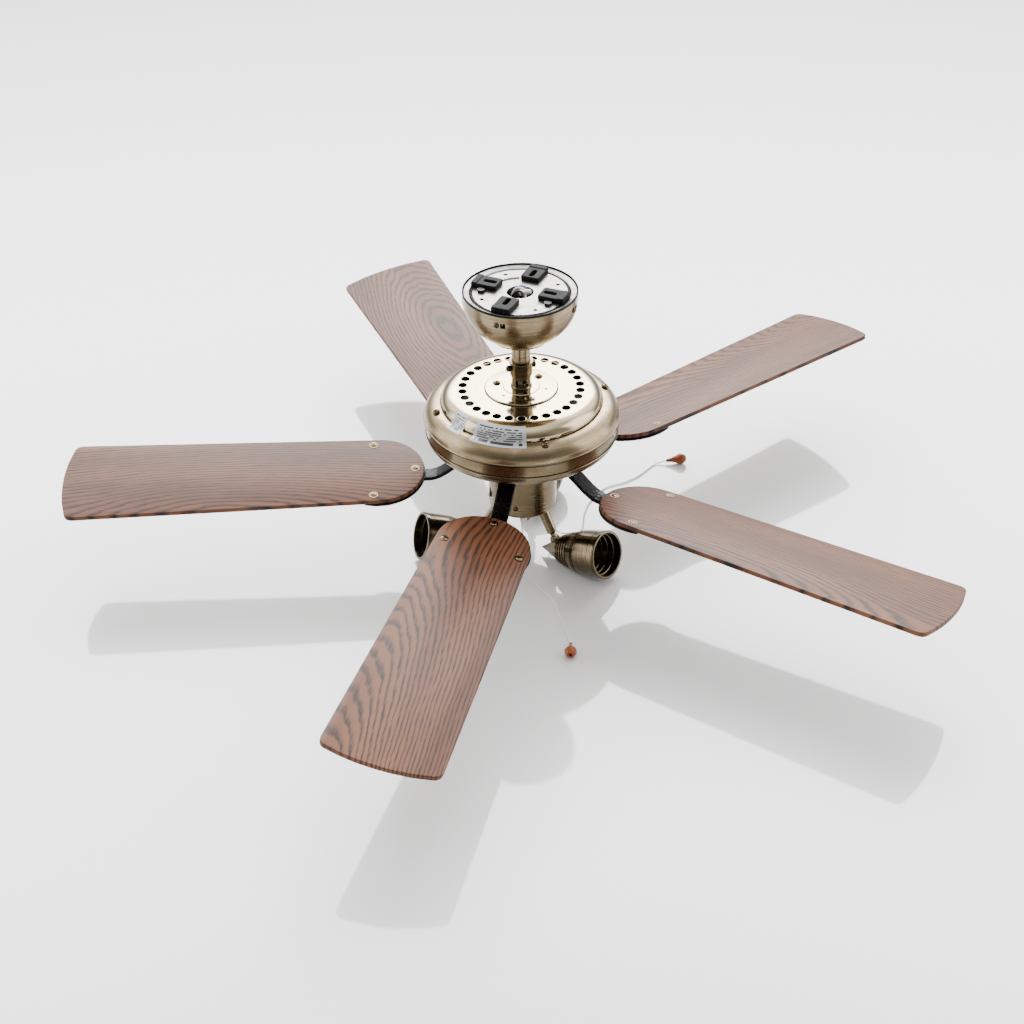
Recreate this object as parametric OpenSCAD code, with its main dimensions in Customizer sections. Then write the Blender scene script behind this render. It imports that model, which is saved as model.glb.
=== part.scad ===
// Ceiling fan with five blades, a downrod and three adjustable spotlights.
// Frame: +Z up, origin on the fan's axis at the bracket's upper face, X and Y along its slots.
// The fan is drawn as it stands on its spot heads, so its lowest point is stand_h below the origin.

/* [Overall] */
// Height from the plane that the spot heads stand on to the bracket's upper face
stand_h = 336; // [333:1:339]
// Radius swept by the blade tips
tip_r = 534; // [480:2:560]
// Angle of the first blade about the axis
blade_turn = -9.2; // [-12:0.1:-6]

/* [Canopy and hanger] */
// Outer radius of the canopy
canopy_r = 64; // [63:0.5:66]
// Wall of the canopy
canopy_wall = 1.4; // [1.2:0.1:1.6]
// Radius of the hanger ball
ball_r = 22; // [21:0.5:22.5]
// Outer radius of the downrod
rod_r = 10.5; // [10:0.1:10.6]

/* [Motor] */
// Widest radius of the motor housing
motor_r = 112; // [110:0.5:114]
// Number of vent holes in the top cover
vent_count = 30; // [24:2:32]
// Radius of each vent hole
vent_r = 4.9; // [4:0.1:5]
// Radius of the switch housing
switch_r = 39.8; // [39:0.1:40]

/* [Blades] */
// Number of blades
blade_count = 5; // [5]
// Pitch of each blade, as a fall of its leading edge
blade_pitch = 8.8; // [7:0.1:10]
// Thickness of a blade
blade_t = 5.5; // [5:0.1:6]
// Half of a blade's width at its rounded root
root_half = 53; // [50:1:55]
// Half of a blade's width at its tip
tip_half = 62; // [58:1:64]

/* [Spotlights] */
// Radius of a spot head's mouth
mouth_r = 28.4; // [28:0.1:29]
// Length of a spot head from its mouth to the tip of its nose
head_len = 97.8; // [95:0.2:100]
// Angle of a spot head above level
head_up = 16.4; // [15:0.1:18]
// Angle of a lamp arm below level
arm_down = 59.4; // [57:0.1:61]

/* [Hidden] */
$fn = 48;
// Small step by which a cutting shape runs past a face
past = 1;
// Radial clearance of a pin or shaft that turns
running = 0.05;

// Ceiling bracket: a shallow hat with a flange just inside the canopy
pad_t = 7;
hat_r = 52.5;
hat_t = 2;
hat_step = 5;
flange_r = 61;
bracket_hole_r = 15;
slot_at = 36;
slot_half = 2.6;
slot_len = 15;
pad_size = [30, 22];
diagonal_hole_at = 45;
cradle_bolt_at = [40, -16];
canopy_top = 3;
canopy_bulge_top = -8;
canopy_bulge_drop = 57.5;
canopy_bulge_centre = -17;
canopy_foot_r = 35.5;
canopy_bottom = -60;
canopy_screw_z = -9.2;
tab_r = 58.2;
tab_t = 2.2;
canopy_hole_r = 17;
ball_z = -29;
cradle_low = -49;
cradle_high = -37;
pin_r = 3;

// Levels above the standing plane
yoke_top_h = 250;
yoke_foot_h = 216.8;
top_h = 214;
plate_h = 216;
tier_h = 200;
band_top_h = 181;
band_low_h = 163;
bowl_low_h = 143;
flywheel_top_h = 137;
flywheel_low_h = 131;
switch_top_h = 124;
switch_low_h = 62;
light_plate_h = 60;
blade_h = 110;

// Radii on the motor
mirror_r = 74;
tier_r = 92.5;
vent_at = 67.3;
plate_r = 41.6;
boss_r = 20.5;
bowl_hole_r = 68;
shell_t = 1.5;
shaft_r = 8;
bearing_r = 14;
hub_r = 18;

// Blade irons
iron_half = 10;
iron_t = 4.6;
iron_in = 41.5;
iron_bend_in = 51;
iron_bend_out = 110;
iron_out = 128;
iron_high_h = 128.7;
iron_low_h = 100;
paddle_t = 3;
root_r = 114.5;
tip_round = 12;
tip_bow = 9;
blade_hole_r = 2.6;
blade_hole_pair = [173.7, 43.2];
blade_hole_in = 125.1;

// Spotlights: azimuth of each arm and turn of each arm about itself
arm_azimuths = [-18, 102, -138];
arm_turns = [5, -3, -2];
arm_r = 6.3;
arm_at = 31;
arm_run = 31.4;
knuckle_run = 38;
neck_r = 3.4;
tang_half = 2;
ear_half = 4.6;
ear_r = 4;
knuckle_pin_r = 1.5;
shoulder_s = 61;
shoulder_r = 18.4;

// Pull chains: routes in the row frame, and the pulls' places
chain_r = 1.2;
floor_z = -stand_h;
lie = floor_z + chain_r;
chain_ring_step = 7.5;
fan_route = [
  [12, -30, floor_z + 62], [12, -30, floor_z + 42], [13, -31, floor_z + 26],
  [14, -34, floor_z + 11], [17, -41, floor_z + 3], [21, -51, lie], [25, -61, lie],
  [37, -70, lie], [50, -77, lie], [61, -84, lie], [72, -91, lie], [81, -98, lie],
  [87, -105, lie], [92, -113, lie], [101, -124, lie], [110, -136, lie], [117, -145, lie],
  [123, -153, lie], [127, -159, lie + 1], [130, -165, lie + 3.2]
];
light_route = [
  [24, 21, floor_z + 62], [24, 21, floor_z + 42], [25, 22, floor_z + 26],
  [28, 25, floor_z + 11], [35, 29, floor_z + 3], [46, 34, lie], [55, 40, lie], [57, 49, lie],
  [52, 64, lie], [47, 80, lie], [45, 93, lie], [44, 106, lie], [45, 119, lie], [47, 132, lie],
  [51, 144, lie], [59, 154, lie], [66, 161, lie], [71, 169, lie], [77, 180, lie],
  [81, 192, lie], [84, 204, lie], [87, 215, lie], [93, 222, lie + 1], [100, 226, lie + 3.2]
];
fan_pull_turn = -68;
light_pull_turn = 24;
pull_r = 7;
pull_len = 26;
connector_r = 2.5;

// ---------- helpers ----------

// Height above the standing plane, as a Z coordinate
function level(h) = h - stand_h;

// Points on an elliptical arc
function arc(centre, size, from, to, steps) = [
  for (i = [0:steps])
    let (a = from + (to - from) * i / steps)
      [centre[0] + size[0] * cos(a), centre[1] + size[1] * sin(a)]
];

function reversed(list) = [for (i = [len(list) - 1:-1:0]) list[i]];

// One point on the smooth curve through points a, b, c and d, between b and c
function on_curve(a, b, c, d, t) =
  0.5 * (2 * b + (c - a) * t + (2 * a - 5 * b + 4 * c - d) * t * t
  + (3 * b - a - 3 * c + d) * t * t * t);

// The route as a smooth curve with a ring about every step
function smooth_route(route, step) = [
  for (i = [0:len(route) - 2])
    let (
      a = route[max(i - 1, 0)],
      b = route[i],
      c = route[i + 1],
      d = route[min(i + 2, len(route) - 1)],
      parts = max(1, round(norm(c - b) / step))
    )
      for (k = [0:parts - 1]) on_curve(a, b, c, d, k / parts),
  route[len(route) - 1]
];

function unit(v) = v / norm(v);

// Direction of a path at point i
function heading(path, i) =
  unit(path[min(i + 1, len(path) - 1)] - path[max(i - 1, 0)]);

// A vector across the path that never turns over, since no chain runs along +X and -Y equally
function across(direction) = unit(cross(direction, [0.6, 0.8, 0.05]));

module swept_tube(path, r, sides) {
  rings = [
    for (i = [0:len(path) - 1])
      let (d = heading(path, i), u = across(d), v = cross(d, u))
        for (k = [0:sides - 1])
          path[i] + r * (cos(360 * k / sides) * u + sin(360 * k / sides) * v)
  ];
  last = len(path) - 1;
  sides_faces = [
    for (i = [0:last - 1])
      for (k = [0:sides - 1])
        let (n = (k + 1) % sides)
          [i * sides + n, i * sides + k, (i + 1) * sides + k, (i + 1) * sides + n]
  ];
  first_cap = [for (k = [0:sides - 1]) k];
  last_cap = [for (k = [sides - 1:-1:0]) last * sides + k];
  polyhedron(points = rings, faces = concat([first_cap], sides_faces, [last_cap]));
}

module ring_of(count, r, from = 0) {
  for (i = [0:count - 1])
    rotate(from + 360 * i / count)
      translate([r, 0, 0])
        children();
}

// A round tube between two levels
module pipe(outer, inner, low, high) {
  translate([0, 0, low])
    difference() {
      cylinder(r = outer, h = high - low);
      translate([0, 0, -past])
        cylinder(r = inner, h = high - low + 2 * past);
    }
}

// A slot with round ends along X, cut through a sheet
module slot_cut(length, half_width, depth) {
  run = length / 2 - half_width;
  translate([-run, -half_width, 0])
    cube([2 * run, 2 * half_width, depth]);
  for (side = [-1, 1])
    translate([side * run, 0, 0])
      cylinder(r = half_width, h = depth);
}

// A pan-headed screw that stands on Z = 0 with its shank below
module pan_screw(head_r, head_h, shank_r, shank_len) {
  cylinder(r = head_r, h = head_h);
  translate([0, 0, -shank_len])
    cylinder(r = shank_r, h = shank_len + past / 2);
}

// ---------- ceiling mount ----------

module hat_profile() {
  polygon([
    [bracket_hole_r, 0], [hat_r, 0], [hat_r, -hat_step], [flange_r, -hat_step],
    [flange_r, -hat_step - hat_t], [hat_r - hat_t, -hat_step - hat_t],
    [hat_r - hat_t, -hat_t], [bracket_hole_r, -hat_t]
  ]);
}

module arc_slot_cut() {
  intersection() {
    pipe(36, 30, -2 * hat_t, hat_t);
    rotate(115)
      translate([0, 0, -3 * hat_t])
        linear_extrude(height = 20)
          polygon([[0, 0], [60, 0], [60, 40], [0.7 * 60, 0.7 * 60]]);
  }
}

module ceiling_bracket() {
  color("gainsboro")
    difference() {
      union() {
        rotate_extrude($fn = 96)
          hat_profile();
        for (turn = [0:90:270])
          rotate(turn)
            translate([tab_r, -6, -hat_step - 10])
              cube([tab_t, 12, 10]);
      }
      for (turn = [0:90:270])
        rotate(turn) {
          translate([slot_at, 0, -2 * hat_t])
            slot_cut(slot_len, slot_half, 4 * hat_t);
          translate([tab_r - 5, 0, canopy_screw_z])
            rotate([0, 90, 0])
              cylinder(r = 1.65, h = 9);
        }
      for (turn = [45:90:315])
        rotate(turn)
          translate([diagonal_hole_at, 0, -2 * hat_t])
            cylinder(r = 2.5, h = 4 * hat_t);
      for (side = [-1, 1])
        translate([side * cradle_bolt_at[0], cradle_bolt_at[1], -2 * hat_t])
          cylinder(r = 2.6, h = 4 * hat_t);
      arc_slot_cut();
    }
}

module isolation_pads() {
  color("#26231f")
    for (turn = [0:90:270])
      rotate(turn)
        translate([slot_at + 4, 0, 0])
          difference() {
            translate([-pad_size[0] / 2, -pad_size[1] / 2, 0])
              cube([pad_size[0], pad_size[1], pad_t]);
            translate([-4, 0, -past])
              slot_cut(slot_len, slot_half, pad_t + 2 * past);
          }
}

module cradle_leg(side) {
  translate([side * 31 - 1.25, -9, cradle_low + 8])
    cube([2.5, 18, -hat_t - cradle_low - 8]);
}

module cradle_foot(side) {
  sole = -hat_t;
  difference() {
    translate([side > 0 ? 31 : -45, -21, sole - 2.5])
      cube([14, 30, 2.5]);
    translate([side * cradle_bolt_at[0], cradle_bolt_at[1], sole - 2.5 - past])
      cylinder(r = 2.6, h = 2.5 + 2 * past);
  }
}

module cradle() {
  color("silver") {
    difference() {
      union() {
        translate([0, 0, cradle_low])
          cylinder(r = 28, h = cradle_high - cradle_low);
        for (side = [-1, 1])
          translate([side > 0 ? 22 : -32.25, -9, cradle_low + 8])
            cube([10.25, 18, 4]);
      }
      translate([0, 0, ball_z])
        sphere(r = ball_r + running, $fn = 96);
      translate([0, 0, cradle_low - past])
        cylinder(r = 15, h = 12 + 2 * past);
    }
    for (side = [-1, 1]) {
      cradle_leg(side);
      cradle_foot(side);
    }
  }
}

module cradle_bolts() {
  color("#2b2a28")
    for (side = [-1, 1])
      translate([side * cradle_bolt_at[0], cradle_bolt_at[1], 0]) {
        cylinder(r = 4.6, h = 3.4, $fn = 6);
        translate([0, 0, -hat_t - 6])
          cylinder(r = 2.5, h = hat_t + 6.5);
        translate([0, 0, -hat_t - 5.5])
          cylinder(r = 4.4, h = 3, $fn = 6);
      }
}

module terminal_block() {
  color("white")
    rotate(135)
      difference() {
        translate([28, -12, -hat_t - 11])
          cube([11, 24, 10.8]);
        for (y = [-8, 0, 8])
          translate([27, y, -hat_t - 5])
            rotate([0, 90, 0])
              cylinder(r = 1.8, h = 13);
      }
}

// Outer outline of the canopy from its rim to its foot, moved in by an inset
function canopy_outline(inset) = concat(
  [[canopy_r - inset, canopy_top + (inset > 0 ? past : 0)]],
  arc(
    [canopy_bulge_centre, canopy_bulge_top],
    [canopy_r - canopy_bulge_centre - inset, canopy_bulge_drop - inset], 0, -49.9, 12
  )
);

module canopy() {
  outer = canopy_outline(0);
  inner = canopy_outline(canopy_wall);
  color("tan")
    difference() {
      rotate_extrude($fn = 96)
        polygon(concat(outer, [[canopy_foot_r - 3.9, last_z(outer)]],
          [[canopy_foot_r - 3.9, last_z(inner)]], reversed(inner)));
      for (turn = [0:90:270])
        rotate(turn)
          translate([canopy_r - 5, 0, canopy_screw_z])
            rotate([0, 90, 0])
              cylinder(r = 1.7, h = 8);
      for (turn = [6.5:90:276.5])
        rotate(turn)
          translate([canopy_r - 5, -3, canopy_screw_z - 3])
            cube([8, 6, 6]);
    }
}

function last_z(list) = list[len(list) - 1][1];

module canopy_cap() {
  cap_top = last_z(canopy_outline(canopy_wall));
  color("tan")
    rotate_extrude($fn = 96)
      polygon([
        [canopy_foot_r - 5.1, cap_top + 0.5], [canopy_foot_r - 5.1, cap_top - 2.6],
        [canopy_hole_r, canopy_bottom + 1], [canopy_hole_r, canopy_bottom - 1],
        [canopy_foot_r - 3, cap_top - 5.2], [canopy_foot_r - 1.6, cap_top - 3.4],
        [canopy_foot_r - 1.6, cap_top - 1.5], [canopy_foot_r - 4, cap_top - 1.5],
        [canopy_foot_r - 4, cap_top + 0.5]
      ]);
}

module canopy_screws() {
  color("#6e5a3a")
    for (turn = [0:90:270])
      rotate(turn)
        translate([canopy_r, 0, canopy_screw_z])
          rotate([0, 90, 0])
            pan_screw(3.2, 2.2, 1.6, 7);
}

// ---------- hanger, downrod and yoke ----------

module hanger_ball() {
  swing_room = 3;
  color("#3a3a38")
    translate([0, 0, ball_z])
      difference() {
        sphere(r = ball_r, $fn = 96);
        translate([0, 0, -ball_r - past])
          slot_cut(2 * (rod_r + 0.3 + swing_room), rod_r + 0.15, 2 * ball_r + 2 * past);
        rotate([90, 0, 0])
          cylinder(r = pin_r + running, h = 3 * ball_r, center = true);
      }
}

module hanger_pin() {
  color("silver")
    translate([0, 0, ball_z])
      rotate([90, 0, 0])
        cylinder(r = pin_r, h = 2 * ball_r - 5, center = true);
}

module downrod() {
  rod_top = ball_z + 14;
  rod_low = level(yoke_foot_h + 10.6);
  color("tan")
    difference() {
      pipe(rod_r, rod_r - 2.4, rod_low, rod_top);
      translate([0, 0, ball_z])
        rotate([90, 0, 0])
          cylinder(r = pin_r, h = 3 * rod_r, center = true);
      translate([0, 0, level(yoke_top_h - 8)])
        rotate([90, 0, 45 + 90])
          cylinder(r = 2.5, h = 3 * rod_r, center = true);
    }
}

module yoke_outline() {
  foot = level(yoke_foot_h);
  top = level(yoke_top_h);
  polygon([
    [shaft_r + 0.02, foot], [12.2, foot], [12.2, foot + 1.4], [11, foot + 2.4], [11, foot + 13],
    [12.6, foot + 17], [13.2, foot + 20], [13.2, top - 3], [14.1, top - 1.4], [14.1, top],
    [rod_r + 0.02, top], [rod_r + 0.02, foot + 10.6], [shaft_r + 0.02, foot + 10.6]
  ]);
}

module motor_yoke() {
  color("#7a6547")
    difference() {
      rotate_extrude($fn = 72)
        yoke_outline();
      translate([0, 0, level(yoke_top_h - 8)])
        rotate([90, 0, 45 + 90])
          cylinder(r = 2.5, h = 60, center = true);
      rotate(-76)
        translate([0, -4.5, level(yoke_foot_h + 4)])
          cube([20, 9, 8.4]);
      rotate(-76)
        translate([0, 0, level(yoke_foot_h + 12.4)])
          rotate([0, 90, 0])
            cylinder(r = 4.5, h = 20);
    }
}

module yoke_bolts() {
  color("#6e5a3a") {
    translate([0, 0, level(yoke_top_h - 8)])
      rotate([0, 90, 45]) {
        translate([0, 0, -16.5])
          cylinder(r = 2.45, h = 30);
        translate([0, 0, 13.3])
          cylinder(r = 4.4, h = 3.6, $fn = 6);
        translate([0, 0, -16.9])
          cylinder(r = 4.2, h = 3.4, $fn = 6);
      }
    translate([0, 0, level(yoke_foot_h + 7)])
      rotate([0, 90, -38])
        translate([0, 0, 11.1])
          cylinder(r = 3.3, h = 2.6);
  }
}

// ---------- motor housing ----------

module top_cover() {
  outer = arc([mirror_r, level(tier_h)], [tier_r - mirror_r, top_h - tier_h], 90, 0, 10);
  inner = arc(
    [mirror_r, level(tier_h)],
    [tier_r - mirror_r - shell_t, top_h - tier_h - shell_t], 90, 0, 10
  );
  color("burlywood")
    difference() {
      rotate_extrude($fn = 120)
        polygon(concat(
          [[shaft_r + 0.5, level(top_h)]], outer,
          reversed(inner), [[shaft_r + 0.5, level(top_h - shell_t)]]
        ));
      ring_of(vent_count, vent_at, 6)
        translate([0, 0, level(top_h - 3 * shell_t)])
          cylinder(r = vent_r, h = 6 * shell_t, $fn = 24);
      ring_of(3, 28.8, 70)
        translate([0, 0, level(top_h - 3 * shell_t)])
          cylinder(r = 2.1, h = 6 * shell_t);
    }
}

module top_plate() {
  low = level(top_h);
  color("wheat")
    difference() {
      rotate_extrude($fn = 96)
        polygon(concat(
          [[shaft_r + 0.5, low]], [[plate_r, low]],
          arc([plate_r - 1.2, level(plate_h) - 1.2], [1.2, 1.2], 0, 90, 4),
          [
            [boss_r, level(plate_h)], [boss_r, level(plate_h) + 0.8],
            [shaft_r + 0.5, level(plate_h) + 0.8]
          ]
        ));
      ring_of(3, 28.8, 70)
        translate([0, 0, low - past])
          cylinder(r = 2.1, h = 6);
      ring_of(3, 28.8, 10)
        translate([0, 0, low - past])
          cylinder(r = 2, h = 6);
    }
}

// Shell between an outer arc and the same arc one wall further in
module housing_dome() {
  ledge = 4;
  outer = arc([tier_r + 0.5, level(band_top_h)], [motor_r - tier_r - 0.5, 17.8], 90, 0, 12);
  inner = arc(
    [tier_r + 0.5, level(band_top_h)],
    [motor_r - tier_r - 0.5 - shell_t, 17.8 - shell_t], 90, 0, 12
  );
  color("burlywood")
    difference() {
      rotate_extrude($fn = 120)
        polygon(concat(
          [[tier_r - ledge, level(tier_h - 1.2)]], outer,
          [
            [motor_r + 0.9, level(band_top_h)], [motor_r + 0.9, level(band_top_h - 1.8)],
            [motor_r, level(band_top_h - 2.4)], [motor_r - 1.4, level(band_low_h + 1)],
            [motor_r - 1.4 - shell_t, level(band_low_h + 1)],
            [motor_r - 0.4 - shell_t, level(band_top_h - 2.4)]
          ],
          reversed(inner), [[tier_r - ledge, level(tier_h - 1.2 - shell_t)]]
        ));
      ring_of(4, 99.8, 39)
        translate([0, 0, level(tier_h - 8)])
          cylinder(r = 2, h = 14);
    }
}

module housing_bowl() {
  bowl_r = motor_r - 1.6;
  outer = arc(
    [mirror_r, level(band_low_h - 1.6)],
    [bowl_r - mirror_r, band_low_h - 1.6 - bowl_low_h], 0, -90, 12
  );
  inner = arc(
    [mirror_r, level(band_low_h - 1.6)],
    [bowl_r - mirror_r - shell_t, band_low_h - 1.6 - bowl_low_h - shell_t], 0, -90, 12
  );
  color("burlywood")
    rotate_extrude($fn = 120)
      polygon(concat(
        [
          [bowl_r - shell_t, level(band_low_h + 0.8)], [bowl_r + 1, level(band_low_h + 0.8)],
          [bowl_r + 1, level(band_low_h - 1)]
        ],
        outer,
        [[bowl_hole_r, level(bowl_low_h)], [bowl_hole_r, level(bowl_low_h + shell_t)]],
        reversed(inner)
      ));
}

module housing_screws() {
  color("#6e5a3a") {
    ring_of(3, 28.8, 70)
      translate([0, 0, level(plate_h)])
        pan_screw(4.4, 2.6, 2, 6);
    ring_of(3, 28.8, 10)
      translate([0, 0, level(plate_h) - 1.9])
        cylinder(r = 1.95, h = 2.1);
    ring_of(4, 99.8, 39)
      translate([0, 0, level(tier_h - 0.9)])
        pan_screw(4.3, 2.9, 1.95, 6);
    ring_of(3, switch_r, -78)
      translate([0, 0, level(72.8)])
        rotate([0, 90, 0])
          pan_screw(3, 2, 1.5, 2.4);
  }
}

// A thin label laid across the groove between the top cover and the dome
module label_sheet(from_turn, to_turn, upper, lower) {
  rotate([0, 0, from_turn])
    rotate_extrude(angle = to_turn - from_turn, $fn = 96)
      polygon(concat(label_face(0.4, upper, lower), reversed(label_face(0.1, upper, lower))));
}

// One face of a label, lifted off the metal, between two angles on the tiers' curves
function label_face(lift, upper, lower) = concat(
  arc([mirror_r, level(tier_h)], [tier_r - mirror_r + lift, top_h - tier_h + lift], upper, 14, 6),
  arc([tier_r + 0.5, level(band_top_h)], [motor_r - tier_r - 0.5 + lift, 17.8 + lift], 84, lower, 4)
);

module labels() {
  color("whitesmoke") {
    label_sheet(-101, -63, 66, 62);
    label_sheet(-122.8, -110, 63, 64);
  }
}

module motor_shaft() {
  color("silver")
    pipe(shaft_r, 5, level(switch_top_h - 6), level(yoke_foot_h + 10.4));
}

module stator_core() {
  color("dimgray")
    difference() {
      pipe(74, shaft_r, level(160), level(184));
      ring_of(16, 62, 0)
        translate([0, 0, level(158)])
          cylinder(r = 4.5, h = 30, $fn = 16);
    }
}

module stator_windings() {
  color("peru") {
    pipe(70, 32, level(184.1), level(192));
    pipe(70, 32, level(152), level(159.9));
  }
}

module bearings() {
  color("silver") {
    pipe(bearing_r, shaft_r, level(131), level(139));
    pipe(bearing_r, shaft_r, level(194), level(202));
  }
}

module rotor_bell() {
  color("#8a8a88") {
    pipe(85, hub_r, level(146.5), level(149.5));
    pipe(85, 81, level(149.5), level(193));
    pipe(hub_r, bearing_r + running, level(flywheel_low_h), level(146.5));
    pipe(hub_r, bearing_r + 1.5, level(146.5), level(149.5));
    difference() {
      pipe(85, bearing_r + running, level(193), level(196));
      ring_of(8, 55, 0)
        translate([0, 0, level(190)])
          cylinder(r = 8, h = 10);
    }
    pipe(hub_r, bearing_r + running, level(196), level(202));
  }
}

module flywheel() {
  color("#4a4744")
    difference() {
      pipe(64, hub_r, level(flywheel_low_h), level(flywheel_top_h));
      for (i = [0:blade_count - 1])
        rotate(blade_turn + 360 * i / blade_count)
          for (side = [-1, 1])
            translate([46, 6 * side, level(flywheel_low_h) - past])
              cylinder(r = 2.1, h = 10);
    }
}

// ---------- blades and irons ----------

function bend_h(r) =
  r <= iron_bend_in ? iron_high_h
  : r >= iron_bend_out ? iron_low_h
  : iron_low_h + (iron_high_h - iron_low_h)
  * (1 + cos(180 * (r - iron_bend_in) / (iron_bend_out - iron_bend_in))) / 2;

// Points along the strap's upper or lower face, side being +1 or -1
function strap_face(side) = [
  for (r = concat([iron_in, iron_bend_in], [
    for (i = [1:11]) iron_bend_in + (iron_bend_out - iron_bend_in) * i / 12
  ], [iron_bend_out, iron_out]))
    let (
      slope = atan2(bend_h(r + 0.5) - bend_h(r - 0.5), 1),
      lift = r == iron_in || r == iron_out ? 0 : slope
    )
      [r - side * sin(lift) * iron_t / 2, level(bend_h(r)) + side * cos(lift) * iron_t / 2]
];

module strap() {
  rotate([90, 0, 0])
    translate([0, 0, -iron_half])
      linear_extrude(height = 2 * iron_half)
        polygon(concat(strap_face(1), reversed(strap_face(-1))));
}

// Plan outline of a blade: a half round root, straight sides and a bowed tip
function blade_outline() =
  let (
    root_c = root_r + root_half,
    bow_r = (tip_half * tip_half + tip_bow * tip_bow) / (2 * tip_bow),
    bow_turn = asin(tip_half / bow_r)
  ) concat(
    arc([root_c, 0], [root_half, root_half], 270, 90, 28),
    arc([tip_r - bow_r, 0], [bow_r, bow_r], bow_turn, -bow_turn, 16)
  );

// Turns its children from the blade's own plane to the place of blade i
module at_blade(i) {
  rotate(blade_turn + 360 * i / blade_count)
    translate([0, 0, level(blade_h)])
      rotate([-blade_pitch, 0, 0])
        children();
}

module blade_holes(r, low, h) {
  translate([blade_hole_in, 0, low])
    cylinder(r = r, h = h, $fn = 24);
  for (side = [-1, 1])
    translate([blade_hole_pair[0], side * blade_hole_pair[1], low])
      cylinder(r = r, h = h, $fn = 24);
}

module blade(i) {
  color("sienna")
    at_blade(i)
      difference() {
        translate([0, 0, -blade_t])
          linear_extrude(height = blade_t)
            offset(r = tip_round)
              offset(delta = -tip_round)
                polygon(blade_outline());
        blade_holes(blade_hole_r, -blade_t - past, blade_t + 2 * past);
      }
}

module paddle() {
  lip = 1.2;
  difference() {
    translate([root_r + root_half, 0, -blade_t - paddle_t])
      cylinder(r = root_half + lip, h = paddle_t, $fn = 96);
    translate([root_r + root_half + 17, 0, -blade_t - paddle_t - past])
      cylinder(r = 38, h = paddle_t + 2 * past, $fn = 72);
    translate([root_r + root_half + 17, -100, -blade_t - paddle_t - past])
      cube([100, 200, paddle_t + 2 * past]);
  }
}

module blade_iron(i) {
  color("#2a241c")
    difference() {
      union() {
        rotate(blade_turn + 360 * i / blade_count)
          difference() {
            strap();
            for (side = [-1, 1])
              translate([46, 6 * side, level(iron_high_h - 10)])
                cylinder(r = 2.1, h = 20);
          }
        at_blade(i)
          paddle();
      }
      at_blade(i) {
        translate([root_r - 20, -20, -blade_t])
          cube([60, 40, blade_t + 10]);
        blade_holes(2.1, -30, 60);
      }
    }
}

module iron_screws() {
  color("#6e5a3a")
    for (i = [0:blade_count - 1])
      rotate(blade_turn + 360 * i / blade_count)
        for (side = [-1, 1])
          translate([46, 6 * side, level(iron_high_h) - iron_t / 2])
            rotate([180, 0, 0])
              pan_screw(3.4, 2.2, 2, 9);
}

module blade_screws() {
  color("#8a744e")
    for (i = [0:blade_count - 1])
      at_blade(i) {
        blade_holes(5.2, 0, 1.6);
        blade_holes(2, -blade_t - paddle_t, blade_t + paddle_t + 0.5);
      }
}

// ---------- switch housing ----------

module adapter_plate() {
  color("silver")
    pipe(switch_r - 2, shaft_r, level(switch_top_h - 4), level(switch_top_h - 1.5));
}

module switch_housing() {
  color("burlywood")
    difference() {
      rotate_extrude($fn = 96)
        polygon([
          [switch_r - 12, level(switch_top_h)], [switch_r - 2, level(switch_top_h)],
          [switch_r, level(switch_top_h - 2)], [switch_r, level(switch_low_h + 1)],
          [switch_r - 0.6, level(switch_low_h)], [switch_r - 1.4, level(switch_low_h)],
          [switch_r - 1.4, level(switch_top_h - 1.4)], [switch_r - 12, level(switch_top_h - 1.4)]
        ]);
      rotate(-138)
        translate([switch_r - 5, -2.2, level(73.5)])
          cube([8, 4.4, 13]);
      ring_of(3, switch_r - 5, -78)
        translate([0, 0, level(72.8)])
          rotate([0, 90, 0])
            cylinder(r = 1.55, h = 10);
    }
}

module light_plate() {
  color("tan")
    difference() {
      union() {
        translate([0, 0, level(light_plate_h)])
          cylinder(r = switch_r - 0.3, h = 1.9, $fn = 96);
        translate([0, 0, level(light_plate_h)])
          cylinder(r = switch_r - 1.5, h = 3.4, $fn = 96);
      }
      for (i = [0:2])
        at_arm(i)
          arm_axis(-14)
            cylinder(r = arm_r + running, h = 30);
      for (route = [fan_route, light_route])
        translate([route[0][0], route[0][1], level(light_plate_h) - past])
          cylinder(r = 4.5, h = 8);
    }
}

module capacitor() {
  color("black")
    translate([-17, -8, level(94)])
      cube([34, 16, 22]);
}

module pull_switch(at) {
  turn = atan2(at[1], at[0]);
  rotate(turn)
    difference() {
      translate([norm([at[0], at[1]]) - 10, -8, level(74)])
        cube([14.5, 16, 20]);
      translate([norm([at[0], at[1]]), 0, level(74) - past])
        cylinder(r = connector_r + 0.5, h = 10 + past);
    }
}

module pull_switches() {
  color("#333333") {
    pull_switch(fan_route[0]);
    pull_switch(light_route[0]);
  }
}

module reverse_switch() {
  color("#222222")
    rotate(-138)
      difference() {
        translate([switch_r - 9, -7, level(72)])
          cube([6.8, 14, 18]);
        translate([switch_r - 5, -2.3, level(73.4)])
          cube([4, 4.6, 13.2]);
      }
}

module reverse_knob() {
  color("black")
    rotate(-138)
      translate([switch_r - 4.8, -1.9, level(74)])
        cube([6.4, 3.8, 6]);
}

// Bushes that guide each pull chain through the light plate
module chain_ferrules() {
  color("#b59a63")
    for (route = [fan_route, light_route])
      translate([route[0][0], route[0][1], 0]) {
        pipe(4.5, connector_r + 0.3, level(light_plate_h - 2), level(light_plate_h + 6));
        pipe(5.8, connector_r + 0.3, level(light_plate_h - 2), level(light_plate_h) - 0.05);
      }
}

// Bell-shaped end of the switch's own chain, round the top of the pull chain
module chain_connector(route) {
  color("gainsboro")
    translate([route[0][0], route[0][1], 0]) {
      pipe(connector_r, chain_r + 0.3, level(57), level(70));
      translate([0, 0, level(70)])
        cylinder(r = connector_r, h = 6);
    }
}

module fan_connector() {
  chain_connector(fan_route);
}

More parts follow.
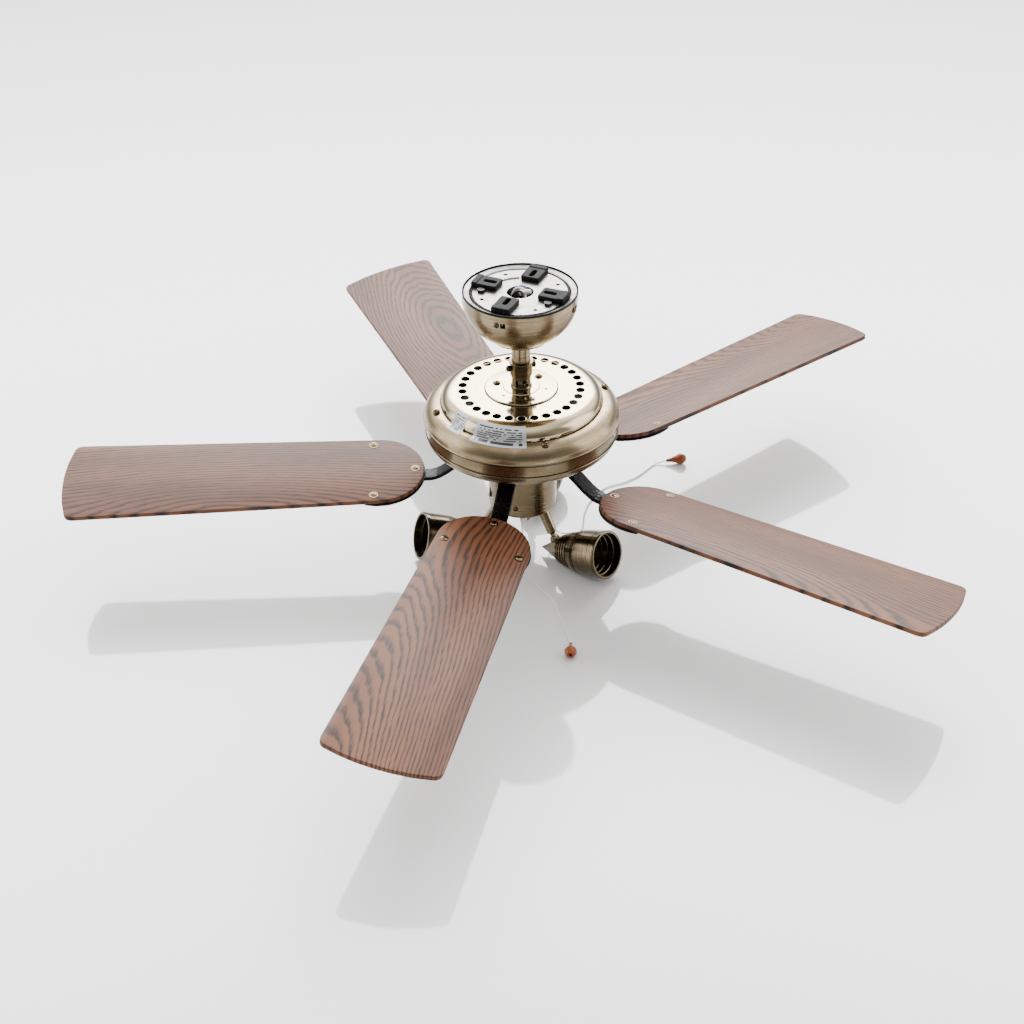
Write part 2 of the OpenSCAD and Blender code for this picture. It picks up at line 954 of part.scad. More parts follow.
module light_connector() {
  chain_connector(light_route);
}

module pull_chain(route) {
  color("ghostwhite")
    swept_tube(smooth_route(route, chain_ring_step), chain_r, 8);
}

module fan_chain() {
  pull_chain(fan_route);
}

module light_chain() {
  pull_chain(light_route);
}

// Turned wooden drop that lies on its belly, its narrow end meeting the chain
module chain_pull(end, turn) {
  tilt = asin((pull_r - chain_r - 3) / (pull_len - pull_r));
  drop = concat(
    [[0, 0], [1.9, 0]],
    [for (i = [1:9]) let (s = i / 9) [1.9 + (pull_r - 1.9) * (1 - cos(90 * s)), 0.66 * pull_len * s]],
    arc([0, 0.66 * pull_len], [pull_r, 0.34 * pull_len], 12, 90, 8)
  );
  color("peru")
    translate([end[0], end[1], end[2]])
      rotate([0, 0, turn])
        rotate([0, 90 - tilt, 0])
          rotate_extrude($fn = 40)
            polygon(drop);
}

module fan_pull() {
  chain_pull(fan_route[len(fan_route) - 1], fan_pull_turn);
}

module light_pull() {
  chain_pull(light_route[len(light_route) - 1], light_pull_turn);
}

// ---------- spotlights ----------

// Where the arm's axis crosses the underside of the light plate, in the arm's own plane
arm_foot = [arm_at, 0, level(light_plate_h)];

// Places children on the arm's axis, which runs along +Z, run mm beyond the light plate
module arm_axis(run) {
  translate(arm_foot)
    rotate([0, 90 + arm_down, 0])
      translate([0, 0, run])
        children();
}

module at_arm(i) {
  rotate(arm_azimuths[i])
    children();
}

// Turns children about the arm's axis
module arm_turned(i) {
  at_arm(i)
    translate(arm_foot)
      rotate([0, 90 + arm_down, 0])
        rotate(-arm_turns[i])
          rotate([0, -90 - arm_down, 0])
            translate(-arm_foot)
              children();
}

knuckle = [
  arm_at + knuckle_run * cos(arm_down), 0, level(light_plate_h) - knuckle_run * sin(arm_down)
];

module spot_arm(i) {
  neck_low = knuckle_run - 5.2;
  color("#8f7850")
    arm_turned(i) {
      arm_axis(-5)
        rotate_extrude($fn = 48)
          polygon([
            [0, 0], [arm_r, 0], [arm_r, arm_run + 2.9], [neck_r, arm_run + 5.2],
            [neck_r, neck_low + 5], [0, neck_low + 5]
          ]);
      arm_axis(neck_low - 0.6)
        translate([-neck_r + 0.1, -tang_half, 0])
          cube([2 * neck_r - 0.2, 2 * tang_half, knuckle_run - neck_low + 0.6]);
      translate(knuckle)
        rotate([90, 0, 0])
          cylinder(r = neck_r, h = 2 * tang_half, center = true);
      translate(knuckle)
        rotate([90, 0, 0])
          cylinder(r = knuckle_pin_r, h = 2 * ear_half + 1, center = true);
    }
}

// Outer radius of the head at s mm behind its mouth
function head_r(s) =
  s <= 3 ? mouth_r
  : s <= 10 ? mouth_r - 0.8 * (s - 3) / 7
  : s <= 30 ? mouth_r - 0.8 - 1.1 * (s - 10) / 20
  : s <= shoulder_s
    ? mouth_r - 1.9 - (mouth_r - 1.9 - shoulder_r) * pow((s - 30) / (shoulder_s - 30), 1.25)
  : max(0.8, shoulder_r * (head_len - s) / (head_len - shoulder_s));

head_stations = [0, 3, 10, 20, 30, 36, 42, 48, 54, 58, shoulder_s, 70, 80, 90, head_len];

// Height of the mouth's centre when the head's belly touches the standing plane
mouth_lift = max([
  for (s = head_stations) s * sin(head_up) + head_r(s) * cos(head_up)
]);

mouth_centre = [knuckle[0] + 75.4, 0, floor_z + mouth_lift];

// Section of a head's shell, hollow from its mouth to the lampholder's seat
function head_section() = concat(
  [for (s = head_stations) [head_r(s), -s]],
  [[0, -head_len], [0, -66], [14, -66], [14, -50]],
  [for (s = [44, 30, 2, 0]) [head_r(s) - 3, -s]]
);

module at_head(i) {
  arm_turned(i)
    translate(mouth_centre)
      rotate([0, 90 - head_up, 0])
        children();
}

// Knuckle's place in the head's own frame: above its axis, and behind its mouth
knuckle_from_mouth = knuckle - mouth_centre;
knuckle_rise = knuckle_from_mouth[2] * cos(head_up) - knuckle_from_mouth[0] * sin(head_up);
knuckle_back = -knuckle_from_mouth[0] * cos(head_up) - knuckle_from_mouth[2] * sin(head_up);

// Side view of a lug: a half circle round the knuckle's pin, and its root inside the nose
function lug_outline() = concat(
  arc([0, 0], [ear_r, ear_r], 90, 270, 16),
  [[9, -ear_r + 0.4], [9, ear_r - 0.4]]
);

module spot_head(i) {
  lug_t = ear_half - tang_half - 0.3;
  lug_at = (tang_half + 0.3 + ear_half) / 2;
  color("#8f7850")
    at_head(i)
      difference() {
        union() {
          rotate(90)
            rotate_extrude($fn = 72)
              polygon(head_section());
          for (side = [-1, 1])
            translate([-knuckle_rise, side * lug_at, -knuckle_back])
              rotate([90, 0, 0])
                linear_extrude(height = lug_t, center = true)
                  polygon(lug_outline());
        }
        translate([-knuckle_rise, 0, -knuckle_back])
          rotate([90, 0, 0])
            cylinder(r = knuckle_pin_r + running, h = 12, center = true);
        translate([-knuckle_rise - 5, -tang_half - 0.25, -knuckle_back - 4.4])
          cube([9.1, 2 * tang_half + 0.5, 8.8]);
      }
}

module lampholder(i) {
  color("#1d1b1a")
    at_head(i)
      difference() {
        translate([0, 0, -65.9])
          cylinder(r = 13.8, h = 15);
        for (side = [-1, 1])
          translate([side * 5, 0, -58])
            cylinder(r = 2.6, h = 20);
      }
}

// ---------- nodes ----------

ceiling_bracket();
isolation_pads();
cradle();
cradle_bolts();
terminal_block();
canopy();
canopy_cap();
canopy_screws();
hanger_ball();
hanger_pin();
downrod();
motor_yoke();
yoke_bolts();
top_cover();
top_plate();
housing_dome();
housing_bowl();
housing_screws();
labels();
motor_shaft();
stator_core();
stator_windings();
bearings();
rotor_bell();
flywheel();
for (i = [0:blade_count - 1])
  blade_iron(i);
iron_screws();
for (i = [0:blade_count - 1])
  blade(i);
blade_screws();
adapter_plate();
switch_housing();
light_plate();
capacitor();
pull_switches();
reverse_switch();
reverse_knob();
chain_ferrules();
fan_connector();
light_connector();
fan_chain();
light_chain();
fan_pull();
light_pull();
for (i = [0:2])
  spot_arm(i);
for (i = [0:2])
  spot_head(i);
for (i = [0:2])
  lampholder(i);
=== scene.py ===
"""Looks of a five-bladed ceiling fan with three spot heads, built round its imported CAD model."""

import logging
import math
from collections.abc import Callable, Sequence
from dataclasses import dataclass, field
from enum import IntEnum

import bmesh
import bpy
from mathutils import Matrix, Vector
from mathutils.geometry import tessellate_polygon


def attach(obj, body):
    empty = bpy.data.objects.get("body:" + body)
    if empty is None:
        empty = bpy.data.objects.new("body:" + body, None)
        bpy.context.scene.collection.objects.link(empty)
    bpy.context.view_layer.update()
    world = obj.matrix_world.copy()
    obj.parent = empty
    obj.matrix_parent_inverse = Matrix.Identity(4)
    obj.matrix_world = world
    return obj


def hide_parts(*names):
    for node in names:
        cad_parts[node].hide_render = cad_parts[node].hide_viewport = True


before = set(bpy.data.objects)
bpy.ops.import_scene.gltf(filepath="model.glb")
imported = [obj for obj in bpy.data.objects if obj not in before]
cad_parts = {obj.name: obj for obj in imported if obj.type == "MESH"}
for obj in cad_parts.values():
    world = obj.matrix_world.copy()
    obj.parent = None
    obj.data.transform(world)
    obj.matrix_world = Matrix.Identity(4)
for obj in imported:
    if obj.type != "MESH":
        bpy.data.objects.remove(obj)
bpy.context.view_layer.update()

LOG = logging.getLogger("ceiling_fan")
MM = 0.001
STAND_H = 336.0
BLADE_COUNT = 5
BLADE_TURN = -9.2
TAU = 2 * math.pi
# A flat shape's plane stood on edge: facing -Y with its Y up, or facing along X with its Y up
STAND_UP = Matrix(((1, 0, 0, 0), (0, 0, -1, 0), (0, 1, 0, 0), (0, 0, 0, 1)))
FACE_ALONG_X = Matrix(((0, 0, 1, 0), (1, 0, 0, 0), (0, 1, 0, 0), (0, 0, 0, 1)))

Point = tuple[float, float]
Profile = list[Point]


class Face(IntEnum):
    """Which of a metal piece's materials a face takes."""

    FINISH = 0
    # Slot 1 holds inner faces; on the motor shells, the top cover and the spot heads it is black painted
    # shade.
    INNER_AND_SHADE = 1
    BARE = 2


# ---------- small helpers ----------


def level(height: float) -> float:
    """Turn a height above the plane that the fan stands on into Z.

    Args:
        height: height in mm.

    Returns:
        Z in mm in the frame that all pieces share.
    """
    return height - STAND_H


def srgb(code: str) -> tuple[float, float, float, float]:
    """Turn an sRGB hex value into a linear colour.

    Args:
        code: six hex digits, with or without a leading #.

    Returns:
        Linear red, green, blue and an alpha of 1.
    """
    digits = code.lstrip("#")
    parts = [int(digits[i:i + 2], 16) / 255 for i in (0, 2, 4)]
    line = [c / 12.92 if c <= 0.04045 else ((c + 0.055) / 1.055) ** 2.4 for c in parts]
    return (line[0], line[1], line[2], 1.0)


def add(
    tree: bpy.types.NodeTree, kind: str, inputs: dict | None = None, **settings: object
) -> bpy.types.Node:
    """Add one node with its settings and its inputs.

    Args:
        tree: the tree that gets the node.
        kind: Blender's identifier of the node.
        inputs: socket name or number, against a value or the output socket to link.
        settings: attributes of the node; stops is a list of a ramp's (place, colour).

    Returns:
        The new node.
    """
    made = tree.nodes.new(kind)
    for key, value in settings.items():
        if key == "stops":
            ramp = made.color_ramp.elements
            while len(ramp) < len(value):
                ramp.new(0.5)
            for stop, (place, colour) in zip(ramp, value):
                stop.position = place
                stop.color = colour
        else:
            setattr(made, key, value)
    for key, value in (inputs or {}).items():
        socket = made.inputs[key]
        if isinstance(value, bpy.types.NodeSocket):
            tree.links.new(value, socket)
        else:
            socket.default_value = value
    return made


def arc(centre: Point, size: Point, start: float, end: float, steps: int) -> Profile:
    """Points on an elliptical arc.

    Args:
        centre: the middle of the ellipse.
        size: its two half axes.
        start: first angle in degrees.
        end: last angle in degrees.
        steps: number of spans.

    Returns:
        steps + 1 points.
    """
    turns = [math.radians(start + (end - start) * i / steps) for i in range(steps + 1)]
    return [(centre[0] + size[0] * math.cos(t), centre[1] + size[1] * math.sin(t)) for t in turns]


def softened(points: Sequence[Point], radius: float, least_turn: float = 24.0, steps: int = 3) -> Profile:
    """Round the corners of a closed outline, and hold the flats beside them.

    Args:
        points: corners of the outline.
        radius: rounding in mm.
        least_turn: smallest change of direction, in degrees, that counts as a corner.
        steps: spans on each rounded corner.

    Returns:
        The outline with its corners rounded.
    """
    result: Profile = []
    count = len(points)
    for i in range(count):
        here = Vector(points[i])
        back, ahead = Vector(points[i - 1]) - here, Vector(points[(i + 1) % count]) - here
        if back.length < 1e-6 or ahead.length < 1e-6:
            continue
        turn = 180 - math.degrees(back.angle(ahead))
        if turn < least_turn or abs(here.x) < 1e-6:
            result.append((here.x, here.y))
            continue
        room_back, room_ahead = 0.45 * back.length, 0.45 * ahead.length
        cut = min(radius, room_back * 0.8, room_ahead * 0.8)
        back.normalize()
        ahead.normalize()
        hold = cut * 1.4
        if hold < room_back:
            result.append(tuple(here + back * hold))
        for k in range(steps + 1):
            t = k / steps
            spot = here + back * cut * (1 - t) ** 2 + ahead * cut * t * t
            result.append(tuple(spot))
        if hold < room_ahead:
            result.append(tuple(here + ahead * hold))
    return result


def offset_outline(points: Sequence[Point], inset: float) -> Profile:
    """Move a counterclockwise outline inwards.

    Args:
        points: the outline.
        inset: distance in mm, or outwards where it is negative.

    Returns:
        As many points as before.
    """
    result: Profile = []
    count = len(points)
    for i in range(count):
        before, here, after = (Vector(points[(i + k) % count]) for k in (-1, 0, 1))
        first, second = (here - before).normalized(), (after - here).normalized()
        normal = Vector((-first.y - second.y, first.x + second.x))
        if normal.length < 1e-6:
            normal = Vector((-first.y, first.x))
        normal.normalize()
        lean = max(0.5, normal.dot(Vector((-first.y, first.x))))
        result.append(tuple(here + normal * inset / lean))
    return result


def area_of(points: Sequence[Point]) -> float:
    """Measure an outline.

    Args:
        points: the outline.

    Returns:
        Its area, positive where it runs counterclockwise.
    """
    pairs = zip(points, list(points[1:]) + [points[0]])
    return sum(a[0] * b[1] - b[0] * a[1] for a, b in pairs) / 2


def turned(degrees: float) -> Matrix:
    """Turn about the fan's axis.

    Args:
        degrees: the angle.

    Returns:
        The rotation.
    """
    return Matrix.Rotation(math.radians(degrees), 4, "Z")


def moved(x: float, y: float, z: float) -> Matrix:
    """Translation in mm."""
    return Matrix.Translation((x, y, z))


# ---------- meshes ----------


@dataclass
class Draft:
    """Corners, faces and UVs of a piece, in mm, before it becomes a mesh."""

    corners: list[Vector] = field(default_factory=list)
    faces: list[list[int]] = field(default_factory=list)
    paint: list[int] = field(default_factory=list)

    def add_face(self, loop: Sequence[int], paint: int = 0) -> None:
        """Add one face, unless too few of its corners differ.

        Args:
            loop: corner numbers, counterclockwise from outside.
            paint: material number.
        """
        clean = [v for i, v in enumerate(loop) if v != loop[i - 1]]
        if len(set(clean)) >= 3:
            self.faces.append(clean)
            self.paint.append(paint)

    def revolve(
        self, profile: Sequence[Point], segments: int = 128, place: Matrix | None = None,
        paint: Callable[[float, float], int] | None = None,
    ) -> None:
        """Turn a closed outline, or one with both ends on the axis, about Z.

        Args:
            profile: (radius, height) points.
            segments: faces round the axis.
            place: where the turned shape goes.
            paint: picks a material number from a face's middle radius and height.
        """
        points = list(profile)
        on_axis = points[0][0] < 1e-6 and points[-1][0] < 1e-6
        if area_of(points) < 0:
            points.reverse()
        rings: list[list[int]] = []
        for radius, height in points:
            if radius < 1e-6:
                rings.append([self.add_corner(Vector((0, 0, height)), place)] * segments)
                continue
            rings.append([
                self.add_corner(
                    Vector(
                        (radius * math.cos(TAU * k / segments), radius * math.sin(TAU * k / segments), height)
                    ),
                    place,
                )
                for k in range(segments)
            ])
        spans = len(points) - (1 if on_axis else 0)
        for i in range(spans):
            j = (i + 1) % len(points)
            middle = ((points[i][0] + points[j][0]) / 2, (points[i][1] + points[j][1]) / 2)
            number = paint(*middle) if paint else 0
            for k in range(segments):
                n = (k + 1) % segments
                self.add_face([rings[i][k], rings[i][n], rings[j][n], rings[j][k]], number)

    def add_corner(self, spot: Vector, place: Matrix | None) -> int:
        """Store one corner.

        Args:
            spot: its place in mm.
            place: matrix that carries it further, if any.

        Returns:
            The corner's number.
        """
        self.corners.append(place @ spot if place else spot)
        return len(self.corners) - 1

    def prism(
        self, outline: Sequence[Point], low: float, high: float, edge: float,
        holes: Sequence[Sequence[Point]] = (),
        steps: int = 2, place: Matrix | None = None, side_paint: int = 0,
    ) -> None:
        """Raise an outline into a plate with rounded edges.

        Args:
            outline: counterclockwise corners.
            low: height of the underside.
            high: height of the upper face.
            edge: radius of the rounded edges.
            holes: counterclockwise outlines cut through the plate.
            steps: spans on each rounded edge.
            place: where the plate goes.
            side_paint: material number of the sides.
        """
        quarter = [math.radians(90 * i / steps) for i in range(steps + 1)]
        layers = [(edge * (1 - math.sin(t)), low + edge * (1 - math.cos(t))) for t in quarter]
        layers += [(edge * (1 - math.cos(t)), high - edge * (1 - math.sin(t))) for t in quarter]
        walls = [(list(outline), 1.0)] + [(list(h), -1.0) for h in holes]
        caps: list[list[list[int]]] = [[], []]
        for loop, sense in walls:
            rings = [
                [self.add_corner(Vector((x, y, z)), place) for x, y in offset_outline(loop, sense * inset)]
                for inset, z in layers
            ]
            for lower, upper in zip(rings, rings[1:]):
                for k in range(len(loop)):
                    n = (k + 1) % len(loop)
                    quad = [lower[k], lower[n], upper[n], upper[k]]
                    self.add_face(quad if sense > 0 else quad[::-1], side_paint)
            caps[0].append(rings[0])
            caps[1].append(rings[-1])
        for cap, flip in zip(caps, (True, False)):
            numbers = [v for ring in cap for v in ring]
            unplaced = place.inverted() if place else Matrix.Identity(4)
            flat = [[(unplaced @ self.corners[v]).to_2d().to_3d() for v in ring] for ring in cap]
            for tri in tessellate_polygon(flat):
                corners = [numbers[i] for i in tri]
                a, b, c = ((unplaced @ self.corners[v]).to_2d() for v in corners)
                upward = (b - a).cross(c - a) > 0
                self.add_face(corners if upward != flip else corners[::-1], 0)

    def sweep(self, frames: Sequence[Matrix], section: Sequence[Point], paints: Sequence[int]) -> None:
        """Carry a closed section along a row of frames.

        Args:
            frames: one matrix for each station, its X and Y spanning the section.
            section: counterclockwise outline seen against the frames' Z.
            paints: material number of each side of the section.
        """
        rings = [[self.add_corner(m @ Vector((x, y, 0)), None) for x, y in section] for m in frames]
        for first, second in zip(rings, rings[1:]):
            for k in range(len(section)):
                n = (k + 1) % len(section)
                self.add_face([first[k], first[n], second[n], second[k]], paints[k])
        self.add_face(rings[0][::-1], paints[0])
        self.add_face(rings[-1], paints[0])

    def finish(self, name: str, sharp: float = 40.0) -> bpy.types.Object:
        """Make the draft an object in metres, smooth between its sharp edges.

        Args:
            name: the object's name.
            sharp: angle in degrees above which an edge stays sharp.

        Returns:
            The new object, at the origin.
        """
        mesh = bpy.data.meshes.new(name)
        mesh.from_pydata([v * MM for v in self.corners], [], self.faces)
        mesh.polygons.foreach_set("material_index", self.paint)
        tidy = bmesh.new()
        tidy.from_mesh(mesh)
        bmesh.ops.remove_doubles(tidy, verts=tidy.verts, dist=2e-6)
        tidy.to_mesh(mesh)
        tidy.free()
        return to_object(name, mesh, sharp)


def to_object(name: str, mesh: bpy.types.Mesh, sharp: float = 40.0) -> bpy.types.Object:
    """Link a mesh to the scene as a smooth object.

    Args:
        name: the object's name.
        mesh: its mesh.
        sharp: angle in degrees above which an edge stays sharp.

    Returns:
        The new object.
    """
    mesh.shade_smooth()
    mesh.set_sharp_from_angle(angle=math.radians(sharp))
    made = bpy.data.objects.new(name, mesh)
    bpy.context.scene.collection.objects.link(made)
    return made


def wrap_round(piece: bpy.types.Object, place: Matrix, reach: float) -> None:
    """Give a turned piece a UV map in metres: round its axis, and out and down along it.

    Args:
        piece: the turned piece.
        place: the matrix, in mm, that carried the piece's axis from Z.
        reach: the radius, in mm, at which the map is true to size.
    """
    mesh = piece.data
    layer = mesh.uv_layers.get("turned") or mesh.uv_layers.new(name="turned")
    back = place.inverted()
    for face in mesh.polygons:
        middle = back @ (face.center / MM)
        base = math.atan2(middle.y, middle.x)
        for loop in face.loop_indices:
            spot = back @ (mesh.vertices[mesh.loops[loop].vertex_index].co / MM)
            radius = math.hypot(spot.x, spot.y)
            turn = math.atan2(spot.y, spot.x) if radius > 0.01 else base
            turn += TAU * round((base - turn) / TAU)
            layer.data[loop].uv = (turn * reach * MM, (radius - spot.z) * MM)


def lay_flat(piece: bpy.types.Object, place: Matrix, start: Point) -> None:
    """Give a flat piece a UV map in metres along its own X and Y.

    Args:
        piece: the piece.
        place: the matrix, in mm, that carried the piece to its place.
        start: offset of the map in metres, so that no two pieces show the same figure.
    """
    mesh = piece.data
    layer = mesh.uv_layers.new(name="flat")
    back = place.inverted()
    for loop in mesh.loops:
        spot = back @ (mesh.vertices[loop.vertex_index].co / MM)
        layer.data[loop.index].uv = (spot.x * MM + start[0], spot.y * MM + start[1])


# ---------- geometry node recipes ----------


class Recipe:
    """A Geometry Nodes tree with named inputs, run once on a carrier mesh."""

    KINDS = {float: "NodeSocketFloat", int: "NodeSocketInt", bool: "NodeSocketBool"}

    def __init__(self, name: str, inputs: dict[str, object]) -> None:
        """Make the tree and its inputs.

        Args:
            name: the tree's name.
            inputs: each input's name and default value.
        """
        self.tree = bpy.data.node_groups.new(name, "GeometryNodeTree")
        face = self.tree.interface
        face.new_socket("Geometry", in_out="INPUT", socket_type="NodeSocketGeometry")
        for label, value in inputs.items():
            made = face.new_socket(label, in_out="INPUT", socket_type=self.KINDS[type(value)])
            made.default_value = value
        face.new_socket("Material", in_out="INPUT", socket_type="NodeSocketMaterial")
        face.new_socket("Geometry", in_out="OUTPUT", socket_type="NodeSocketGeometry")
        self.inputs = self.add("NodeGroupInput").outputs

    def add(self, kind: str, inputs: dict | None = None, **settings: object) -> bpy.types.Node:
        """Add one node to this recipe's tree."""
        return add(self.tree, kind, inputs, **settings)

    def close(self, geometry: bpy.types.NodeSocket) -> None:
        """End the tree: instances become mesh, and get the material.

        Args:
            geometry: output socket of the last shape.
        """
        real = self.add("GeometryNodeRealizeInstances", {0: geometry})
        dressed = self.add(
            "GeometryNodeSetMaterial", {"Geometry": real.outputs[0], "Material": self.inputs["Material"]}
        )
        self.add("NodeGroupOutput", {0: dressed.outputs[0]})

    def run(
        self, carrier: bpy.types.Object, name: str, material: bpy.types.Material, **values: object
    ) -> bpy.types.Object:
        """Run the tree on a carrier, and turn the result into a plain mesh.

        Args:
            carrier: the object that gives the points or the shell; it is removed.
            name: name of the new piece.
            material: the piece's material.
            values: the inputs by name, with _ for a space.

        Returns:
            The new piece.
        """
        modifier = carrier.modifiers.new(self.tree.name, "NODES")
        modifier.node_group = self.tree
        known = {s.name: s.identifier for s in self.tree.interface.items_tree if s.in_out == "INPUT"}
        modifier[known["Material"]] = material
        for label, value in values.items():
            modifier[known[label.replace("_", " ")]] = value
        shown = carrier.evaluated_get(bpy.context.evaluated_depsgraph_get())
        mesh = bpy.data.meshes.new_from_object(shown)
        mesh.name = name
        old = carrier.data
        bpy.data.objects.remove(carrier)
        bpy.data.meshes.remove(old)
        return to_object(name, mesh)


def carrier_of(name: str, spots: Sequence[tuple[Vector, Vector]]) -> bpy.types.Object:
    """A mesh of loose points, each with the direction that its instance faces.

    Args:
        name: name of the carrier.
        spots: (place in mm, direction) of each point.

    Returns:
        The carrier object.
    """
    mesh = bpy.data.meshes.new(name)
    mesh.from_pydata([p * MM for p, _ in spots], [], [])
    facing = mesh.attributes.new("facing", "FLOAT_VECTOR", "POINT")
    for item, (_, way) in zip(facing.data, spots):
        item.vector = way
    made = bpy.data.objects.new(name, mesh)
    bpy.context.scene.collection.objects.link(made)
    return made


def placed_on_points(recipe: Recipe, shape: bpy.types.NodeSocket) -> bpy.types.NodeSocket:
    """Stand a shape on each of the carrier's points, its Z along the point's facing.

    Args:
        recipe: the recipe that gets the nodes.
        shape: output socket of the shape.

    Returns:
        Output socket of the instances.
    """
    dots = recipe.add("GeometryNodeMeshToPoints", {"Mesh": recipe.inputs["Geometry"]})
    way = recipe.add("GeometryNodeInputNamedAttribute", {"Name": "facing"}, data_type="FLOAT_VECTOR")
    turn = recipe.add("FunctionNodeAlignRotationToVector", {"Vector": way.outputs[0]}, axis="Z")
    put = recipe.add(
        "GeometryNodeInstanceOnPoints",
        {"Points": dots.outputs[0], "Instance": shape, "Rotation": turn.outputs[0]},
    )
    return put.outputs[0]


def screw_recipe() -> Recipe:
    """Domed screw heads with a cross recess, each on its washer."""
    recipe = Recipe("cross_screws", {
        "Head radius": 0.003, "Head height": 0.002, "Recess width": 0.0009, "Recess depth": 0.001,
        "Washer radius": 0.005, "Washer height": 0.0005,
    })
    socket = recipe.inputs
    ball = recipe.add("GeometryNodeMeshUVSphere", {"Segments": 28, "Rings": 14, "Radius": 1.0})
    size = recipe.add(
        "ShaderNodeCombineXYZ",
        {0: socket["Head radius"], 1: socket["Head radius"], 2: socket["Head height"]},
    )
    dome = recipe.add("GeometryNodeTransform", {"Geometry": ball.outputs[0], "Scale": size.outputs[0]})
    twice = recipe.add("ShaderNodeMath", {0: socket["Recess depth"], 1: 2.0}, operation="MULTIPLY")
    length = recipe.add("ShaderNodeMath", {0: socket["Head radius"], 1: 1.15}, operation="MULTIPLY")
    lift = recipe.add("ShaderNodeCombineXYZ", {2: socket["Head height"]})
    bars = []
    for first, second in ((0, 1), (1, 0)):
        shape = recipe.add(
            "ShaderNodeCombineXYZ", {
                first: length.outputs[0], second: socket["Recess width"], 2: twice.outputs[0]
            }
        )
        block = recipe.add("GeometryNodeMeshCube", {"Size": shape.outputs[0]})
        bars.append(recipe.add(
            "GeometryNodeTransform", {"Geometry": block.outputs[0], "Translation": lift.outputs[0]}
        ))
    cut = recipe.add(
        "GeometryNodeMeshBoolean", {"Mesh 1": dome.outputs[0]}, operation="DIFFERENCE", solver="EXACT"
    )
    for bar in bars:
        recipe.tree.links.new(bar.outputs[0], cut.inputs["Mesh 2"])
    disc = recipe.add(
        "GeometryNodeMeshCylinder",
        {"Vertices": 32, "Radius": socket["Washer radius"], "Depth": socket["Washer height"]},
    )
    half = recipe.add("ShaderNodeMath", {0: socket["Washer height"], 1: 0.5}, operation="MULTIPLY")
    up = recipe.add("ShaderNodeCombineXYZ", {2: half.outputs[0]})
    washer = recipe.add("GeometryNodeTransform", {"Geometry": disc.outputs[0], "Translation": up.outputs[0]})
    both = recipe.add("GeometryNodeJoinGeometry", {0: cut.outputs[0]})
    recipe.tree.links.new(washer.outputs[0], both.inputs[0])
    recipe.close(placed_on_points(recipe, both.outputs[0]))
    return recipe


def perforation_recipe() -> Recipe:
    """A ring of holes cut through a shell, along its axis or outwards from it."""
    recipe = Recipe("perforation", {
        "Count": 30, "Ring radius": 0.067, "Hole radius": 0.0047, "Level": 0.0, "Depth": 0.01,
        "First turn": 0.0,
        "Sides": 32, "Outward": 0.0, "Length": 1.0,
    })
    socket = recipe.inputs
    dots = recipe.add("GeometryNodePoints", {"Count": socket["Count"]})
    number = recipe.add("GeometryNodeInputIndex")
    share = recipe.add("ShaderNodeMath", {0: number.outputs[0], 1: socket["Count"]}, operation="DIVIDE")
    turn = recipe.add(
        "ShaderNodeMath", {0: share.outputs[0], 1: TAU, 2: socket["First turn"]}, operation="MULTIPLY_ADD"
    )
    start = recipe.add("ShaderNodeCombineXYZ", {0: socket["Ring radius"], 2: socket["Level"]})
    seat = recipe.add(
        "ShaderNodeVectorRotate", {
            "Vector": start.outputs[0], "Angle": turn.outputs[0]
        }, rotation_type="Z_AXIS"
    )
    ring = recipe.add("GeometryNodeSetPosition", {"Geometry": dots.outputs[0], "Position": seat.outputs[0]})
    punch = recipe.add(
        "GeometryNodeMeshCylinder",
        {"Vertices": socket["Sides"], "Radius": socket["Hole radius"], "Depth": socket["Depth"]},
    )
    square = recipe.add("ShaderNodeMath", {0: math.pi, 1: socket["Sides"]}, operation="DIVIDE")
    twist = recipe.add("ShaderNodeCombineXYZ", {2: square.outputs[0]})
    straight = recipe.add(
        "GeometryNodeTransform", {"Geometry": punch.outputs[0], "Rotation": twist.outputs[0]}
    )
    tip = recipe.add("ShaderNodeMath", {0: socket["Outward"], 1: math.pi / 2}, operation="MULTIPLY")
    lie = recipe.add("ShaderNodeCombineXYZ", {1: tip.outputs[0]})
    long = recipe.add("ShaderNodeCombineXYZ", {0: socket["Length"], 1: 1.0, 2: 1.0})
    drawn = recipe.add("GeometryNodeTransform", {"Geometry": straight.outputs[0], "Scale": long.outputs[0]})
    laid = recipe.add("GeometryNodeTransform", {"Geometry": drawn.outputs[0], "Rotation": lie.outputs[0]})
    spin = recipe.add("ShaderNodeCombineXYZ", {2: turn.outputs[0]})
    punches = recipe.add(
        "GeometryNodeInstanceOnPoints",
        {"Points": ring.outputs[0], "Instance": laid.outputs[0], "Rotation": spin.outputs[0]},
    )
    real = recipe.add("GeometryNodeRealizeInstances", {0: punches.outputs[0]})
    cut = recipe.add(
        "GeometryNodeMeshBoolean", {"Mesh 1": socket["Geometry"]}, operation="DIFFERENCE", solver="EXACT"
    )
    recipe.tree.links.new(real.outputs[0], cut.inputs["Mesh 2"])
    recipe.close(cut.outputs[0])
    return recipe


def rim_recipe() -> Recipe:
    """Rolled rims of round wire, standing on the carrier's points."""
    recipe = Recipe("rolled_rims", {"Rim radius": 0.0047, "Wire radius": 0.0005})
    socket = recipe.inputs
    ring = recipe.add("GeometryNodeCurvePrimitiveCircle", {"Resolution": 32, "Radius": socket["Rim radius"]})
    wire = recipe.add("GeometryNodeCurvePrimitiveCircle", {"Resolution": 8, "Radius": socket["Wire radius"]})
    tube = recipe.add(
        "GeometryNodeCurveToMesh", {"Curve": ring.outputs[0], "Profile Curve": wire.outputs[0]}
    )
    recipe.close(placed_on_points(recipe, tube.outputs[0]))
    return recipe


